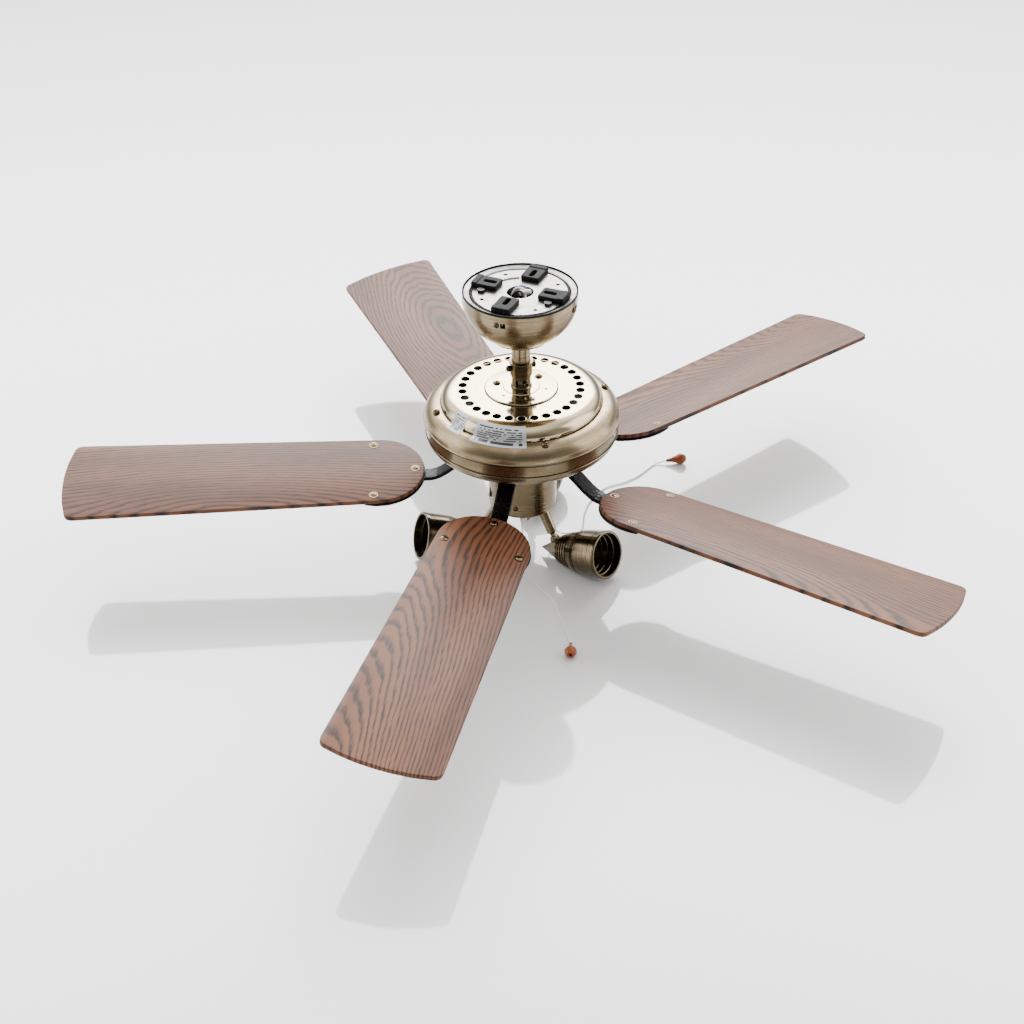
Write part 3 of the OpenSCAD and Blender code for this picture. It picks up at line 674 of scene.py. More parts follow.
def bead_recipe() -> Recipe:
    """Hollow beads on short pins, along the carrier's line."""
    recipe = Recipe("bead_chain", {"Pitch": 0.0032, "Bead radius": 0.0012, "Pin radius": 0.00035})
    socket = recipe.inputs
    line = recipe.add("GeometryNodeMeshToCurve", {"Mesh": socket["Geometry"]})
    dots = recipe.add(
        "GeometryNodeCurveToPoints", {"Curve": line.outputs[0], "Length": socket["Pitch"]}, mode="LENGTH"
    )
    ball = recipe.add("GeometryNodeMeshIcoSphere", {"Radius": socket["Bead radius"], "Subdivisions": 2})
    beads = recipe.add(
        "GeometryNodeInstanceOnPoints", {"Points": dots.outputs[0], "Instance": ball.outputs[0]}
    )
    wire = recipe.add("GeometryNodeCurvePrimitiveCircle", {"Resolution": 6, "Radius": socket["Pin radius"]})
    pins = recipe.add(
        "GeometryNodeCurveToMesh", {
            "Curve": line.outputs[0], "Profile Curve": wire.outputs[0], "Fill Caps": True
        }
    )
    both = recipe.add("GeometryNodeJoinGeometry", {0: beads.outputs[0]})
    recipe.tree.links.new(pins.outputs[0], both.inputs[0])
    recipe.close(both.outputs[0])
    return recipe


# ---------- finishes ----------


@dataclass(frozen=True)
class Finish:
    """A real material; each kind below adds the pattern that its making leaves."""

    name: str
    colour: str
    shade: str
    roughness: float
    metallic: float = 0.0
    grain_mm: float = 2.0
    relief: float = 0.1
    gloss: float = 0.5
    depth_mm: float = 0.1

    def begin(self, **settings: float) -> tuple[bpy.types.Material, bpy.types.NodeTree, bpy.types.Node]:
        """Make the material with its shader.

        Args:
            settings: further sockets of the shader, with _ for a space.

        Returns:
            The material, its tree and its shader.
        """
        made = bpy.data.materials.new(self.name)
        made.use_nodes = True
        tree = made.node_tree
        tree.nodes.clear()
        if not self.metallic:
            settings.setdefault("Specular_IOR_Level", self.gloss)
        values = {key.replace("_", " "): value for key, value in settings.items()}
        shader = add(
            tree, "ShaderNodeBsdfPrincipled",
            {
                "Base Color": srgb(self.colour), "Roughness": self.roughness, "Metallic": self.metallic,
                **values
            },
        )
        add(tree, "ShaderNodeOutputMaterial", {0: shader.outputs[0]})
        return made, tree, shader

    def speckle(
        self, tree: bpy.types.NodeTree, shader: bpy.types.Node, pattern: bpy.types.NodeSocket
    ) -> None:
        """Let a grey pattern drive the colour, the roughness and the relief.

        Args:
            tree: the material's tree.
            shader: its shader.
            pattern: output socket of the pattern.
        """
        tint = add(
            tree, "ShaderNodeValToRGB", {0: pattern},
            stops=[(0.3, srgb(self.shade)), (0.7, srgb(self.colour))],
        )
        rough = add(
            tree, "ShaderNodeMapRange",
            {"Value": pattern, "To Min": self.roughness * 1.25, "To Max": self.roughness * 0.8},
        )
        bump = add(
            tree, "ShaderNodeBump",
            {"Strength": self.relief, "Distance": self.depth_mm * MM, "Height": pattern}
        )
        tree.links.new(tint.outputs[0], shader.inputs["Base Color"])
        tree.links.new(rough.outputs[0], shader.inputs["Roughness"])
        tree.links.new(bump.outputs[0], shader.inputs["Normal"])

    def make(self) -> bpy.types.Material:
        """Moulded, plated or cast surface: an even colour with fine mottling."""
        made, tree, shader = self.begin()
        spot = add(tree, "ShaderNodeTexCoord")
        noise = add(
            tree, "ShaderNodeTexNoise",
            {"Vector": spot.outputs["Object"], "Scale": 1 / (self.grain_mm * MM), "Detail": 4.0},
        )
        self.speckle(tree, shader, noise.outputs[0])
        return made


@dataclass(frozen=True)
class TurnedMetal(Finish):
    """Metal brushed as it spins: hair lines round the axis draw each highlight out across them."""

    line_mm: float = 1.1
    patina: float = 0.35
    stretch: float = 0.6

    def make(self) -> bpy.types.Material:
        """Lines round the axis, drawn coarser than the real 0.2 mm so that they show, over slow patina."""
        made, tree, shader = self.begin(Anisotropic=self.stretch, Anisotropic_Rotation=0.25)
        along = add(tree, "ShaderNodeTangent", direction_type="UV_MAP", uv_map="turned")
        tree.links.new(along.outputs[0], shader.inputs["Tangent"])
        spot = add(tree, "ShaderNodeTexCoord")
        turned_map = add(tree, "ShaderNodeUVMap", uv_map="turned")
        across = add(tree, "ShaderNodeSeparateXYZ", {0: turned_map.outputs[0]})
        fine = add(
            tree, "ShaderNodeMath", {0: across.outputs[1], 1: 1 / (self.line_mm * MM)}, operation="MULTIPLY"
        )
        wide = add(
            tree, "ShaderNodeVectorMath", {0: spot.outputs["Object"], "Scale": 1 / (45 * MM)},
            operation="SCALE"
        )
        fine_axis = add(tree, "ShaderNodeCombineXYZ", {2: fine.outputs[0]})
        vector = add(tree, "ShaderNodeVectorMath", {0: wide.outputs[0], 1: fine_axis.outputs[0]})
        lines = add(tree, "ShaderNodeTexNoise", {"Vector": vector.outputs[0], "Scale": 1.0, "Detail": 3.0})
        cloud = add(
            tree, "ShaderNodeTexNoise",
            {"Vector": spot.outputs["Object"], "Scale": 1 / (28 * MM), "Detail": 3.0},
        )
        worn = add(
            tree, "ShaderNodeMapRange",
            {
                "Value": cloud.outputs[0], "From Min": 0.35, "From Max": 0.7, "To Min": 0.0,
                "To Max": self.patina
            },
        )
        sum_of = add(
            tree, "ShaderNodeMath", {
                0: lines.outputs[0], 1: worn.outputs[0]
            }, operation="SUBTRACT", use_clamp=True
        )
        self.speckle(tree, shader, sum_of.outputs[0])
        return made


@dataclass(frozen=True)
class SlicedOak(Finish):
    """Flat-cut oak veneer under a satin lacquer: arched growth rings and long dark pores."""

    ring_mm: float = 3.7
    pore_mm: float = 1.2
    pore: str = "0b0504"

    def make(self) -> bpy.types.Material:
        """Rings are where the sheet cuts a slowly bending log; pores are coarser than the real 0.3 mm."""
        made, tree, shader = self.begin(Coat_Weight=0.04, Coat_Roughness=0.3, Specular_IOR_Level=0.22)
        flat = add(tree, "ShaderNodeUVMap", uv_map="flat")
        place = add(tree, "ShaderNodeSeparateXYZ", {0: flat.outputs[0]})
        sway_at = add(tree, "ShaderNodeMapping", {"Vector": flat.outputs[0], "Scale": (1.5, 0.8, 1.0)})
        sway = add(tree, "ShaderNodeTexNoise", {"Vector": sway_at.outputs[0], "Scale": 1.0, "Detail": 1.0})
        depth = add(
            tree, "ShaderNodeMapRange",
            {"Value": sway.outputs[0], "From Min": 0.3, "From Max": 0.7, "To Min": 0.01, "To Max": 0.1},
        )
        ripple_at = add(tree, "ShaderNodeMapping", {"Vector": flat.outputs[0], "Scale": (14.0, 70.0, 1.0)})
        ripple = add(
            tree, "ShaderNodeTexNoise", {"Vector": ripple_at.outputs[0], "Scale": 1.0, "Detail": 3.0}
        )
        wide = add(tree, "ShaderNodeMath", {0: place.outputs[1], 1: 2.0}, operation="POWER")
        deep = add(tree, "ShaderNodeMath", {0: depth.outputs[0], 1: 2.0}, operation="POWER")
        both = add(tree, "ShaderNodeMath", {0: wide.outputs[0], 1: deep.outputs[0]})
        radius = add(tree, "ShaderNodeMath", {0: both.outputs[0]}, operation="SQRT")
        wavy = add(
            tree, "ShaderNodeMath", {0: ripple.outputs[0], 1: 5 * MM, 2: radius.outputs[0]},
            operation="MULTIPLY_ADD"
        )
        rings = add(
            tree, "ShaderNodeMath", {0: wavy.outputs[0], 1: 1 / (self.ring_mm * MM)}, operation="MULTIPLY"
        )
        ring = add(tree, "ShaderNodeMath", {0: rings.outputs[0]}, operation="FRACT")
        ring_tint = add(
            tree, "ShaderNodeValToRGB", {0: ring.outputs[0]},
            stops=[
                (0.0, srgb(self.shade)), (0.3, srgb(self.colour)), (0.8, srgb(self.colour)),
                (1.0, srgb(self.shade))
            ],
        )
        early = add(
            tree, "ShaderNodeValToRGB", {0: ring.outputs[0]},
            stops=[
                (0.0, srgb("ffffff")), (0.2, srgb("e0e0e0")), (0.42, srgb("383838")), (0.8, srgb("181818")),
                (1.0, srgb("ffffff")),
            ],
        )
        pore_at = add(
            tree, "ShaderNodeMapping",
            {"Vector": flat.outputs[0], "Scale": (1 / (26 * MM), 1 / (self.pore_mm * MM), 1.0)},
        )
        pores = add(
            tree, "ShaderNodeTexNoise",
            {"Vector": pore_at.outputs[0], "Scale": 1.0, "Detail": 4.0, "Roughness": 0.6},
        )
        dashes = add(
            tree, "ShaderNodeMapRange",
            {"Value": pores.outputs[0], "From Min": 0.42, "From Max": 0.52, "To Min": 0.0, "To Max": 0.93},
        )
        open_pore = add(
            tree, "ShaderNodeMath", {0: dashes.outputs[0], 1: early.outputs[0]}, operation="MULTIPLY"
        )
        warm_at = add(tree, "ShaderNodeMapping", {"Vector": flat.outputs[0], "Scale": (3.0, 22.0, 1.0)})
        warm = add(tree, "ShaderNodeTexNoise", {"Vector": warm_at.outputs[0], "Scale": 1.0, "Detail": 3.0})
        tone = add(
            tree, "ShaderNodeValToRGB", {0: warm.outputs[0]},
            stops=[(0.32, srgb("c0b0a6")), (0.68, srgb("ffffff"))],
        )
        toned = add(
            tree, "ShaderNodeMix", {0: 1.0, 6: ring_tint.outputs[0], 7: tone.outputs[0]},
            data_type="RGBA", blend_type="MULTIPLY",
        )
        figured = add(
            tree, "ShaderNodeMix", {
                0: open_pore.outputs[0], 6: toned.outputs[2], 7: srgb(self.pore)
            }, data_type="RGBA"
        )
        tree.links.new(figured.outputs[2], shader.inputs["Base Color"])
        bump = add(
            tree, "ShaderNodeBump",
            {"Strength": self.relief, "Distance": 0.1 * MM, "Height": open_pore.outputs[0]}, invert=True,
        )
        tree.links.new(bump.outputs[0], shader.inputs["Normal"])
        return made


@dataclass(frozen=True)
class LongGrain(Finish):
    """Solid wood or a moulded edge, its fibres along one axis of the object."""

    stretched: tuple[float, float, float] = (0.1, 1.0, 1.0)

    def make(self) -> bpy.types.Material:
        """Fibres drawn out along the grain, under gloss varnish."""
        made, tree, shader = self.begin(Coat_Weight=0.12, Coat_Roughness=0.15, Specular_IOR_Level=0.25)
        spot = add(tree, "ShaderNodeTexCoord")
        stretch = add(tree, "ShaderNodeMapping", {"Vector": spot.outputs["Object"], "Scale": self.stretched})
        noise = add(
            tree, "ShaderNodeTexNoise",
            {"Vector": stretch.outputs[0], "Scale": 1 / (self.grain_mm * MM), "Detail": 5.0},
        )
        self.speckle(tree, shader, noise.outputs[0])
        return made


@dataclass(frozen=True)
class PrintedFoil(Finish):
    """Metallised film label: pale silver with a border and plain bars, and no lettering."""

    def make(self) -> bpy.types.Material:
        """Bars are drawn from the label's own map, in fractions of its width and height."""
        made, tree, shader = self.begin()
        flat = add(tree, "ShaderNodeUVMap", uv_map="sheet")
        at = add(tree, "ShaderNodeSeparateXYZ", {0: flat.outputs[0]})
        rows = add(tree, "ShaderNodeMath", {0: at.outputs[1], 1: 8.0}, operation="MULTIPLY")
        row = add(tree, "ShaderNodeMath", {0: rows.outputs[0]}, operation="FRACT")
        bar = add(tree, "ShaderNodeMath", {0: row.outputs[0], 1: 0.5}, operation="GREATER_THAN")
        words_at = add(tree, "ShaderNodeMapping", {"Vector": flat.outputs[0], "Scale": (22.0, 8.0, 1.0)})
        cell = add(tree, "ShaderNodeVectorMath", {0: words_at.outputs[0]}, operation="FLOOR")
        words = add(tree, "ShaderNodeTexWhiteNoise", {"Vector": cell.outputs[0]}, noise_dimensions="2D")
        shown = add(tree, "ShaderNodeMath", {0: words.outputs[0], 1: 0.3}, operation="GREATER_THAN")
        ink = add(tree, "ShaderNodeMath", {0: bar.outputs[0], 1: shown.outputs[0]}, operation="MULTIPLY")
        for axis in (0, 1):
            centred = add(tree, "ShaderNodeMath", {0: at.outputs[axis], 1: 0.5}, operation="SUBTRACT")
            out = add(tree, "ShaderNodeMath", {0: centred.outputs[0]}, operation="ABSOLUTE")
            clear = add(tree, "ShaderNodeMath", {0: out.outputs[0], 1: 0.43}, operation="LESS_THAN")
            ink = add(tree, "ShaderNodeMath", {0: ink.outputs[0], 1: clear.outputs[0]}, operation="MULTIPLY")
        tint = add(
            tree, "ShaderNodeMix", {
                0: ink.outputs[0], 6: srgb(self.colour), 7: srgb(self.shade)
            }, data_type="RGBA"
        )
        tree.links.new(tint.outputs[2], shader.inputs["Base Color"])
        return made


class Palette:
    """Every finish on the fan, made once."""

    def __init__(self) -> None:
        """Make the materials by slot name, with a few variants beside them."""
        kinds = [
            # Bright zinc on pressed steel: pale, satin, with faint spangle.
            Finish("zinc_plated_steel", "a3a19e", "8e8c89", 0.42, 1.0, 6.0, 0.05),
            # Moulded rubber: charcoal, matt, with a soft sheen on the lips.
            Finish("black_rubber", "0c0b0b", "060606", 0.6, 0.0, 1.5, 0.2, 0.15),
            # Oiled black steel of the cradle and its bolts.
            Finish("blackened_steel", "2e2c2a", "1c1a19", 0.4, 1.0, 3.0, 0.1),
            Finish("white_nylon", "e6e4dc", "d6d3ca", 0.4, 0.0, 2.0, 0.05),
            # Antique brass, lacquered over brown patina.
            TurnedMetal("antique_brass", "a39479", "7d6e54", 0.25, 1.0, 2.0, 0.1),
            # The spot heads carry more of the brown.
            TurnedMetal("bronzed_brass", "85775e", "4f4534", 0.2, 1.0, 2.0, 0.1, line_mm=0.9),
            TurnedMetal("mirror_brass", "b8aa8c", "a8997a", 0.1, 1.0, 2.0, 0.02, patina=0.1, stretch=0.2),
            TurnedMetal("polished_brass", "ece3d2", "dccfb6", 0.12, 1.0, 2.0, 0.03, patina=0.1, stretch=0.3),
            Finish("bronzed_screw", "6a5c44", "352c1f", 0.22, 1.0, 1.2, 0.1),
            Finish("screw_brass", "8a7b5f", "4b4030", 0.2, 1.0, 1.2, 0.08),
            Finish("brass_edge", "9c8d70", "6f6148", 0.25, 1.0, 2.0, 0.08),
            Finish("bright_steel", "c9c9c8", "a2a2a2", 0.18, 1.0, 3.0, 0.05),
            Finish("moulded_ball", "232221", "151413", 0.35, 0.0, 2.0, 0.1),
            PrintedFoil("foil_label", "b4b5b6", "2f3032", 0.3, 0.3),
            Finish("laminated_steel", "3c3c3d", "262627", 0.45, 1.0, 0.5, 0.4),
            Finish("copper_winding", "5a3019", "32190c", 0.35, 1.0, 0.8, 0.5),
            Finish("cast_rotor", "2e2e2d", "1d1d1c", 0.5, 1.0, 1.0, 0.3),
            # Wrinkle lacquer on the irons: black, glossy, finely crumpled.
            Finish("black_iron", "060504", "020101", 0.2, 0.0, 4.0, 1.0, 0.12, 1.2),
            SlicedOak("oak_veneer", "744a31", "543320", 0.5, 0.0, 2.0, 0.25),
            LongGrain("mahogany_edge", "3a1812", "1e0b08", 0.35, 0.0, 6.0, 0.05),
            Finish("black_moulding", "1b1a19", "0e0d0d", 0.3, 0.0, 2.0, 0.1),
            # Painted highlight: the nickel-plated chains and bells are drawn near-white and not metallic, so
            # that they show as bright as the beads' glints.
            Finish("nickel_bead_chain", "fbfaf8", "efedea", 0.3, 0.0, 2.0, 0.03),
            LongGrain("varnished_wood", "9c5227", "6b3212", 0.35, 0.0, 2.0, 0.08),
            # Painted shade: the lampholders are near-black, not the white of ceramic, for the dark inside the
            # spot heads.
            Finish("dark_ceramic", "1d1b1a", "100f0f", 0.3, 0.0, 2.0, 0.1),
            Finish("blue_insulation", "3f5f94", "2e4a7c", 0.35, 0.0, 2.0, 0.05),
            # Painted shade: this near-black lines the insides of the motor shells, the vent walls and the
            # spot heads' grooves and cavities; it is also the plate plugs' black.
            Finish("burnished_black_and_shade", "0d0b09", "060504", 0.22, 0.3, 2.0, 0.1),
        ]
        self.made = {kind.name: kind.make() for kind in kinds}

    def __getitem__(self, name: str) -> bpy.types.Material:
        """The material of that name."""
        return self.made[name]


def dress(piece: bpy.types.Object, *materials: bpy.types.Material) -> bpy.types.Object:
    """Give a piece its materials, by the numbers on its faces.

    Args:
        piece: the piece.
        materials: material 0, 1 and so on.

    Returns:
        The same piece.
    """
    piece.data.materials.clear()
    for material in materials:
        piece.data.materials.append(material)
    return piece


def hand_over(piece: bpy.types.Object, body: str, slot: str, *nodes: str) -> bpy.types.Object:
    """Fix a finished piece to its body, and hide the CAD nodes that it stands for.

    Args:
        piece: the dressed piece.
        body: the CAD body that it rides on.
        slot: the record's material slot; not used.
        nodes: CAD nodes that it replaces.

    Returns:
        The same piece.
    """
    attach(piece, body)
    if nodes:
        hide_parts(*nodes)
    LOG.info("%s rides on %s with %d faces", piece.name, body, len(piece.data.polygons))
    return piece


# ---------- studio ----------


@dataclass(frozen=True)
class SoftBox:
    """A soft-edged window of light on the world's sphere, its angles in degrees."""

    azimuth: float
    elevation: float
    half_width: float
    half_height: float
    strength: float
    blur: float = 12.0


@dataclass
class Studio:
    """Camera, light and floor."""

    eye: tuple[float, float, float] = (0.73408, -1.64075, 0.94841)
    aim: tuple[float, float, float] = (-0.01182, -0.00539, -0.29395)
    roll: float = -0.958
    lens: float = 64.5
    floor_half: float = 7.0
    ambient: float = 0.55
    boxes: tuple[SoftBox, ...] = (
        SoftBox(114, 36, 30, 13, 17.0, 8),
        SoftBox(114, 38, 62, 20, 3.0, 12),
        SoftBox(114, 90, 180, 30, 1.5, 18),
        SoftBox(202, 24, 20, 26, 4.5, 8),
        SoftBox(26, 24, 20, 26, 4.5, 8),
        SoftBox(-66, 16, 40, 16, -0.3, 10),
    )

    def place_camera(self) -> None:
        """Stand the camera at the eye, looking at the aim."""
        data = bpy.data.cameras.new("camera")
        data.lens = self.lens
        data.sensor_width = 36.0
        data.clip_end = 50.0
        camera = bpy.data.objects.new("camera", data)
        bpy.context.scene.collection.objects.link(camera)
        way = Vector(self.aim) - Vector(self.eye)
        turn = way.to_track_quat("-Z", "Y").to_matrix().to_4x4()
        lean = Matrix.Rotation(math.radians(self.roll), 4, "Z")
        camera.matrix_world = Matrix.Translation(self.eye) @ turn @ lean
        bpy.context.scene.camera = camera

    def hang_lights(self) -> None:
        """Paint the soft boxes on the world."""
        world = bpy.data.worlds.new("studio")
        bpy.context.scene.world = world
        world.use_nodes = True
        tree = world.node_tree
        tree.nodes.clear()
        way = add(tree, "ShaderNodeTexCoord").outputs["Generated"]
        total = None
        for box in self.boxes:
            faced = add(
                tree, "ShaderNodeVectorRotate", {"Vector": way, "Angle": -math.radians(box.azimuth)},
                rotation_type="Z_AXIS",
            )
            part = add(tree, "ShaderNodeSeparateXYZ", {0: faced.outputs[0]})
            side = add(tree, "ShaderNodeMath", {0: part.outputs[1], 1: part.outputs[0]}, operation="ARCTAN2")
            rise = add(tree, "ShaderNodeMath", {0: part.outputs[2]}, operation="ARCSINE")
            gain: float | bpy.types.NodeSocket = box.strength
            for angle, middle, half in ((side, 0.0, box.half_width), (rise, box.elevation, box.half_height)):
                gap = add(
                    tree, "ShaderNodeMath", {
                        0: angle.outputs[0], 1: math.radians(middle)
                    }, operation="SUBTRACT"
                )
                size = add(tree, "ShaderNodeMath", {0: gap.outputs[0]}, operation="ABSOLUTE")
                window = add(
                    tree, "ShaderNodeMapRange",
                    {
                        "Value": size.outputs[0], "From Min": math.radians(half + box.blur),
                        "From Max": math.radians(max(half - box.blur, 0)),
                    },
                    interpolation_type="SMOOTHSTEP",
                )
                gain = add(
                    tree, "ShaderNodeMath", {0: window.outputs[0], 1: gain}, operation="MULTIPLY"
                ).outputs[0]
            total = add(
                tree, "ShaderNodeMath", {0: total if total is not None else self.ambient, 1: gain}
            ).outputs[0]
        sky = add(tree, "ShaderNodeBackground", {"Color": srgb("ffffff"), "Strength": total})
        add(tree, "ShaderNodeOutputWorld", {0: sky.outputs[0]})

    def lay_floor(self) -> None:
        """Lay the glossy pale sheet that the fan stands on."""
        half = self.floor_half
        mesh = bpy.data.meshes.new("floor")
        height = level(0) * MM - 0.0001
        mesh.from_pydata(
            [(-half, -half, height), (half, -half, height), (half, half, height), (-half, half, height)],
            [], [(0, 1, 2, 3)],
        )
        floor = bpy.data.objects.new("floor", mesh)
        bpy.context.scene.collection.objects.link(floor)
        sheet = Finish("white_acrylic_sheet", "e2e2e1", "dededd", 0.06, 0.0, 400.0, 0.0)
        made, _, shader = sheet.begin(IOR=1.49)
        dress(floor, made)


# ---------- ceiling mount ----------


@dataclass
class CeilingMount:
    """Canopy, its cap and screws, the rubber pads and the wires in the bracket."""

    palette: Palette
    screws: Recipe
    holes: Recipe
    rim_r: float = 64.0
    rim_z: float = 3.0
    bulge_z: float = -8.0
    bulge_centre: float = -17.0
    bulge_drop: float = 57.5
    foot_angle: float = -49.9
    wall: float = 1.4
    cap_r: float = 33.9
    foot_in: float = 31.6
    screw_z: float = -9.2
    screw_turn: float = 6.5
    window_r: float = 4.24
    body: str = "ceiling_mount"

    def outline(self, inset: float) -> Profile:
        """Draw the canopy from its rim to its foot.

        Args:
            inset: how far inside the outer face, in mm.

        Returns:
            The outline's points.
        """
        bulge = arc(
            (self.bulge_centre, self.bulge_z),
            (self.rim_r - self.bulge_centre - inset, self.bulge_drop - inset), 0, self.foot_angle, 22,
        )
        return [(self.rim_r - inset, self.rim_z)] + bulge

    def canopy(self) -> None:
        """Spun canopy with its four square lock windows, and a trim round its rim."""
        outer, inner = self.outline(0), self.outline(self.wall)
        foot = outer[-1][1]
        shell = outer + [
            (outer[-1][0] - 0.6, foot - 0.5), (self.foot_in, foot - 0.5), (self.foot_in, inner[-1][1])
        ]
        draft = Draft()
        draft.revolve(softened(shell + inner[::-1], 0.5), 160)
        body = draft.finish("canopy_shell")
        body = self.holes.run(
            body, "canopy_shell", self.palette["antique_brass"], Count=4, Ring_radius=self.rim_r * MM,
            Hole_radius=self.window_r * MM, Level=self.screw_z * MM, Depth=8 * MM, First_turn=math.radians(
                self.screw_turn
            ),
            Sides=4, Outward=1.0, Length=1.0,
        )
        wrap_round(body, Matrix.Identity(4), self.rim_r)
        body.data.materials.append(self.palette["zinc_plated_steel"])
        for face in body.data.polygons:
            if face.normal.to_2d().dot(face.center.to_2d()) < -0.1 * face.center.to_2d().length:
                face.material_index = Face.INNER_AND_SHADE
        hand_over(body, self.body, "antique_brass", "canopy")
        trim = Draft()
        trim.revolve(softened([
            (62.3, 2.0), (63.2, 1.0), (64.25, 1.0), (64.25, 3.1), (63.6, 3.5), (62.8, 3.5),
        ], 0.3), 160)
        # Painted shadow: a black rubber ring fills the gap between the bracket's disc and its turned flange.
        shadow_gap_ring = Draft()
        shadow_gap_ring.revolve(
            softened([(52.7, -4.95), (55.6, -4.95), (55.4, -1.2), (54.4, -0.5), (52.7, -0.9)], 0.5), 128
        )
        flange = Draft()
        flange.revolve(softened([
            (56.6, -4.95), (57.2, -1.2), (62.2, 0.7), (62.2, 1.6), (56.6, -0.2), (55.9, -1.2), (55.9, -4.95),
        ], 0.4), 128)
        for name, part, finish in (
            ("canopy_rim_trim", trim, "black_rubber"), ("bracket_shadow_gap_ring", shadow_gap_ring, "black_rubber"),
            ("bracket_turned_edge", flange, "zinc_plated_steel"),
        ):
            hand_over(dress(part.finish(name), self.palette[finish]), self.body, finish)

    def cap(self) -> None:
        """Dished cap that closes the canopy's foot round the rod."""
        top = self.outline(self.wall)[-1][1]
        section = [
            (30.4, top + 0.5), (30.4, top - 2.6), (17.0, -59.0), (16.4, -60.2), (17.2, -61.0), (24.0, -60.2),
            (self.cap_r - 3.2, top - 5.4), (self.cap_r - 0.9, top - 4.2), (self.cap_r, top - 2.8),
            (self.cap_r, top - 1.6), (31.5, top - 1.5), (31.5, top + 0.5),
        ]
        draft = Draft()
        draft.revolve(softened(section, 0.5), 128)
        piece = dress(draft.finish("canopy_cap_dish"), self.palette["antique_brass"])
        wrap_round(piece, Matrix.Identity(4), 30.0)
        hand_over(piece, self.body, "antique_brass", "canopy_cap")

    def side_screws(self) -> None:
        """Four cross-head screws round the canopy."""
        spots = []
        for quarter in range(4):
            way = turned(90 * quarter) @ Vector((1, 0, 0))
            spots.append((way * self.rim_r + Vector((0, 0, self.screw_z)), way))
        piece = self.screws.run(
            carrier_of("canopy_screw_points", spots), "canopy_side_screws", self.palette["bronzed_screw"],
            Head_radius=3.1 * MM, Head_height=2.1 * MM, Washer_radius=3.4 * MM, Washer_height=0.5 * MM,
        )
        hand_over(piece, self.body, "bronzed_screw", "canopy_screws")

    def pads(self) -> None:
        """Four slotted rubber pads, each with raised end lips."""
        draft = Draft()
        slot = arc((4.9, 0), (2.6, 2.6), -90, 90, 8) + arc((-4.9, 0), (2.6, 2.6), 90, 270, 8)
        middle = [(x - 4, y) for x, y in slot]
        body = (
            arc((12.6, 8.6), (2.4, 2.4), 0, 90, 4) + arc((-12.6, 8.6), (2.4, 2.4), 90, 180, 4)
            + arc((-12.6, -8.6), (2.4, 2.4), 180, 270, 4) + arc((12.6, -8.6), (2.4, 2.4), 270, 360, 4)
        )
        lip = (
            arc((14.0, 9.4), (1.2, 1.2), 0, 90, 3) + arc((9.4, 9.4), (1.2, 1.2), 90, 180, 3)
            + arc((9.4, -9.4), (1.2, 1.2), 180, 270, 3) + arc((14.0, -9.4), (1.2, 1.2), 270, 360, 3)
        )
        for quarter in range(4):
            place = turned(90 * quarter) @ moved(40, 0, 0)
            draft.prism(body, 0.02, 6.2, 1.1, [middle], 3, place)
            draft.prism(lip, 0.3, 7.0, 0.9, (), 3, place)
            for side in (-5.5, 5.5):
                draft.revolve(softened([(0, 0.05), (3.4, 0.05), (3.4, 4.0), (0, 4.0)], 0.8), 24,
                              place @ moved(12.4, side, 0))
        piece = dress(draft.finish("rubber_pads"), self.palette["black_rubber"])
        hand_over(piece, self.body, "black_rubber", "isolation_pads")

    def leads(self) -> None:
        """Insulated leads that come up through the bracket, and their splice cap."""
        for name, colour, points in (
            (
                "blue_lead", "blue_insulation",
                [(-11, 6, -10), (-7, 8, 0), (-1, 8.5, 3.2), (5, 6, 2.5), (9, 1, -4)]
            ),
            (
                "white_lead", "white_nylon",
                [(-12, 1, -10), (-8, 3.5, 0), (-2, 5, 2.2), (4, 3, 1.5), (8, -3, -5)]
            ),
            ("black_lead", "black_moulding", [(-10, -5, -10), (-4, -3, 1), (2, -2, 1.6), (7, -5, -5)]),
        ):
            draft = Draft()
            line = smooth_line([Vector(p) for p in points], 2.0)
            section = arc((0, 0), (1.25, 1.25), 0, 330, 11)
            draft.sweep(frames_along(line), section, [0] * len(section))
            hand_over(dress(draft.finish(name), self.palette[colour]), self.body, "white_nylon")
        cap = Draft()
        cap.revolve(softened([(0, -7), (3.6, -7), (3.9, -5.5), (2.9, 5.2), (2.2, 6.6), (0, 7)], 0.8), 32,
                    moved(5.5, 2.5, -0.5) @ Matrix.Rotation(math.radians(72), 4, "Y"))
        hand_over(dress(cap.finish("splice_cap"), self.palette["white_nylon"]), self.body, "white_nylon")

    def build(self) -> None:
        """Build every piece of the mount."""
        self.canopy()
        self.cap()
        self.side_screws()
        self.pads()
        self.leads()


def smooth_line(points: Sequence[Vector], step: float) -> list[Vector]:
    """A smooth curve through points.

    Args:
        points: the places that it passes.
        step: about how far apart, in mm, its own points are.

    Returns:
        The curve's points.
    """
    result: list[Vector] = []
    last = len(points) - 1
    for i in range(last):
        a, b = points[max(i - 1, 0)], points[i]
        c, d = points[i + 1], points[min(i + 2, last)]
        parts = max(1, round((c - b).length / step))
        for k in range(parts):
            t = k / parts
            result.append(0.5 * (
                2 * b + (c - a) * t + (2 * a - 5 * b + 4 * c - d) * t * t + (3 * b - a - 3 * c + d) * t ** 3
            ))
    result.append(points[last])
    return result


def frames_along(line: Sequence[Vector]) -> list[Matrix]:
    """Stand a frame at each point of a line.

    Args:
        line: the line's points in mm.

    Returns:
        One matrix for each point, its Z along the line.
    """
    frames = []
    for i, spot in enumerate(line):
        way = (line[min(i + 1, len(line) - 1)] - line[max(i - 1, 0)]).normalized()
        side = way.cross(Vector((0.6, 0.8, 0.05))).normalized()
        up = way.cross(side)
        frames.append(Matrix((side, up, way)).transposed().to_4x4())
        frames[-1].translation = spot
    return frames


# ---------- hanger ----------


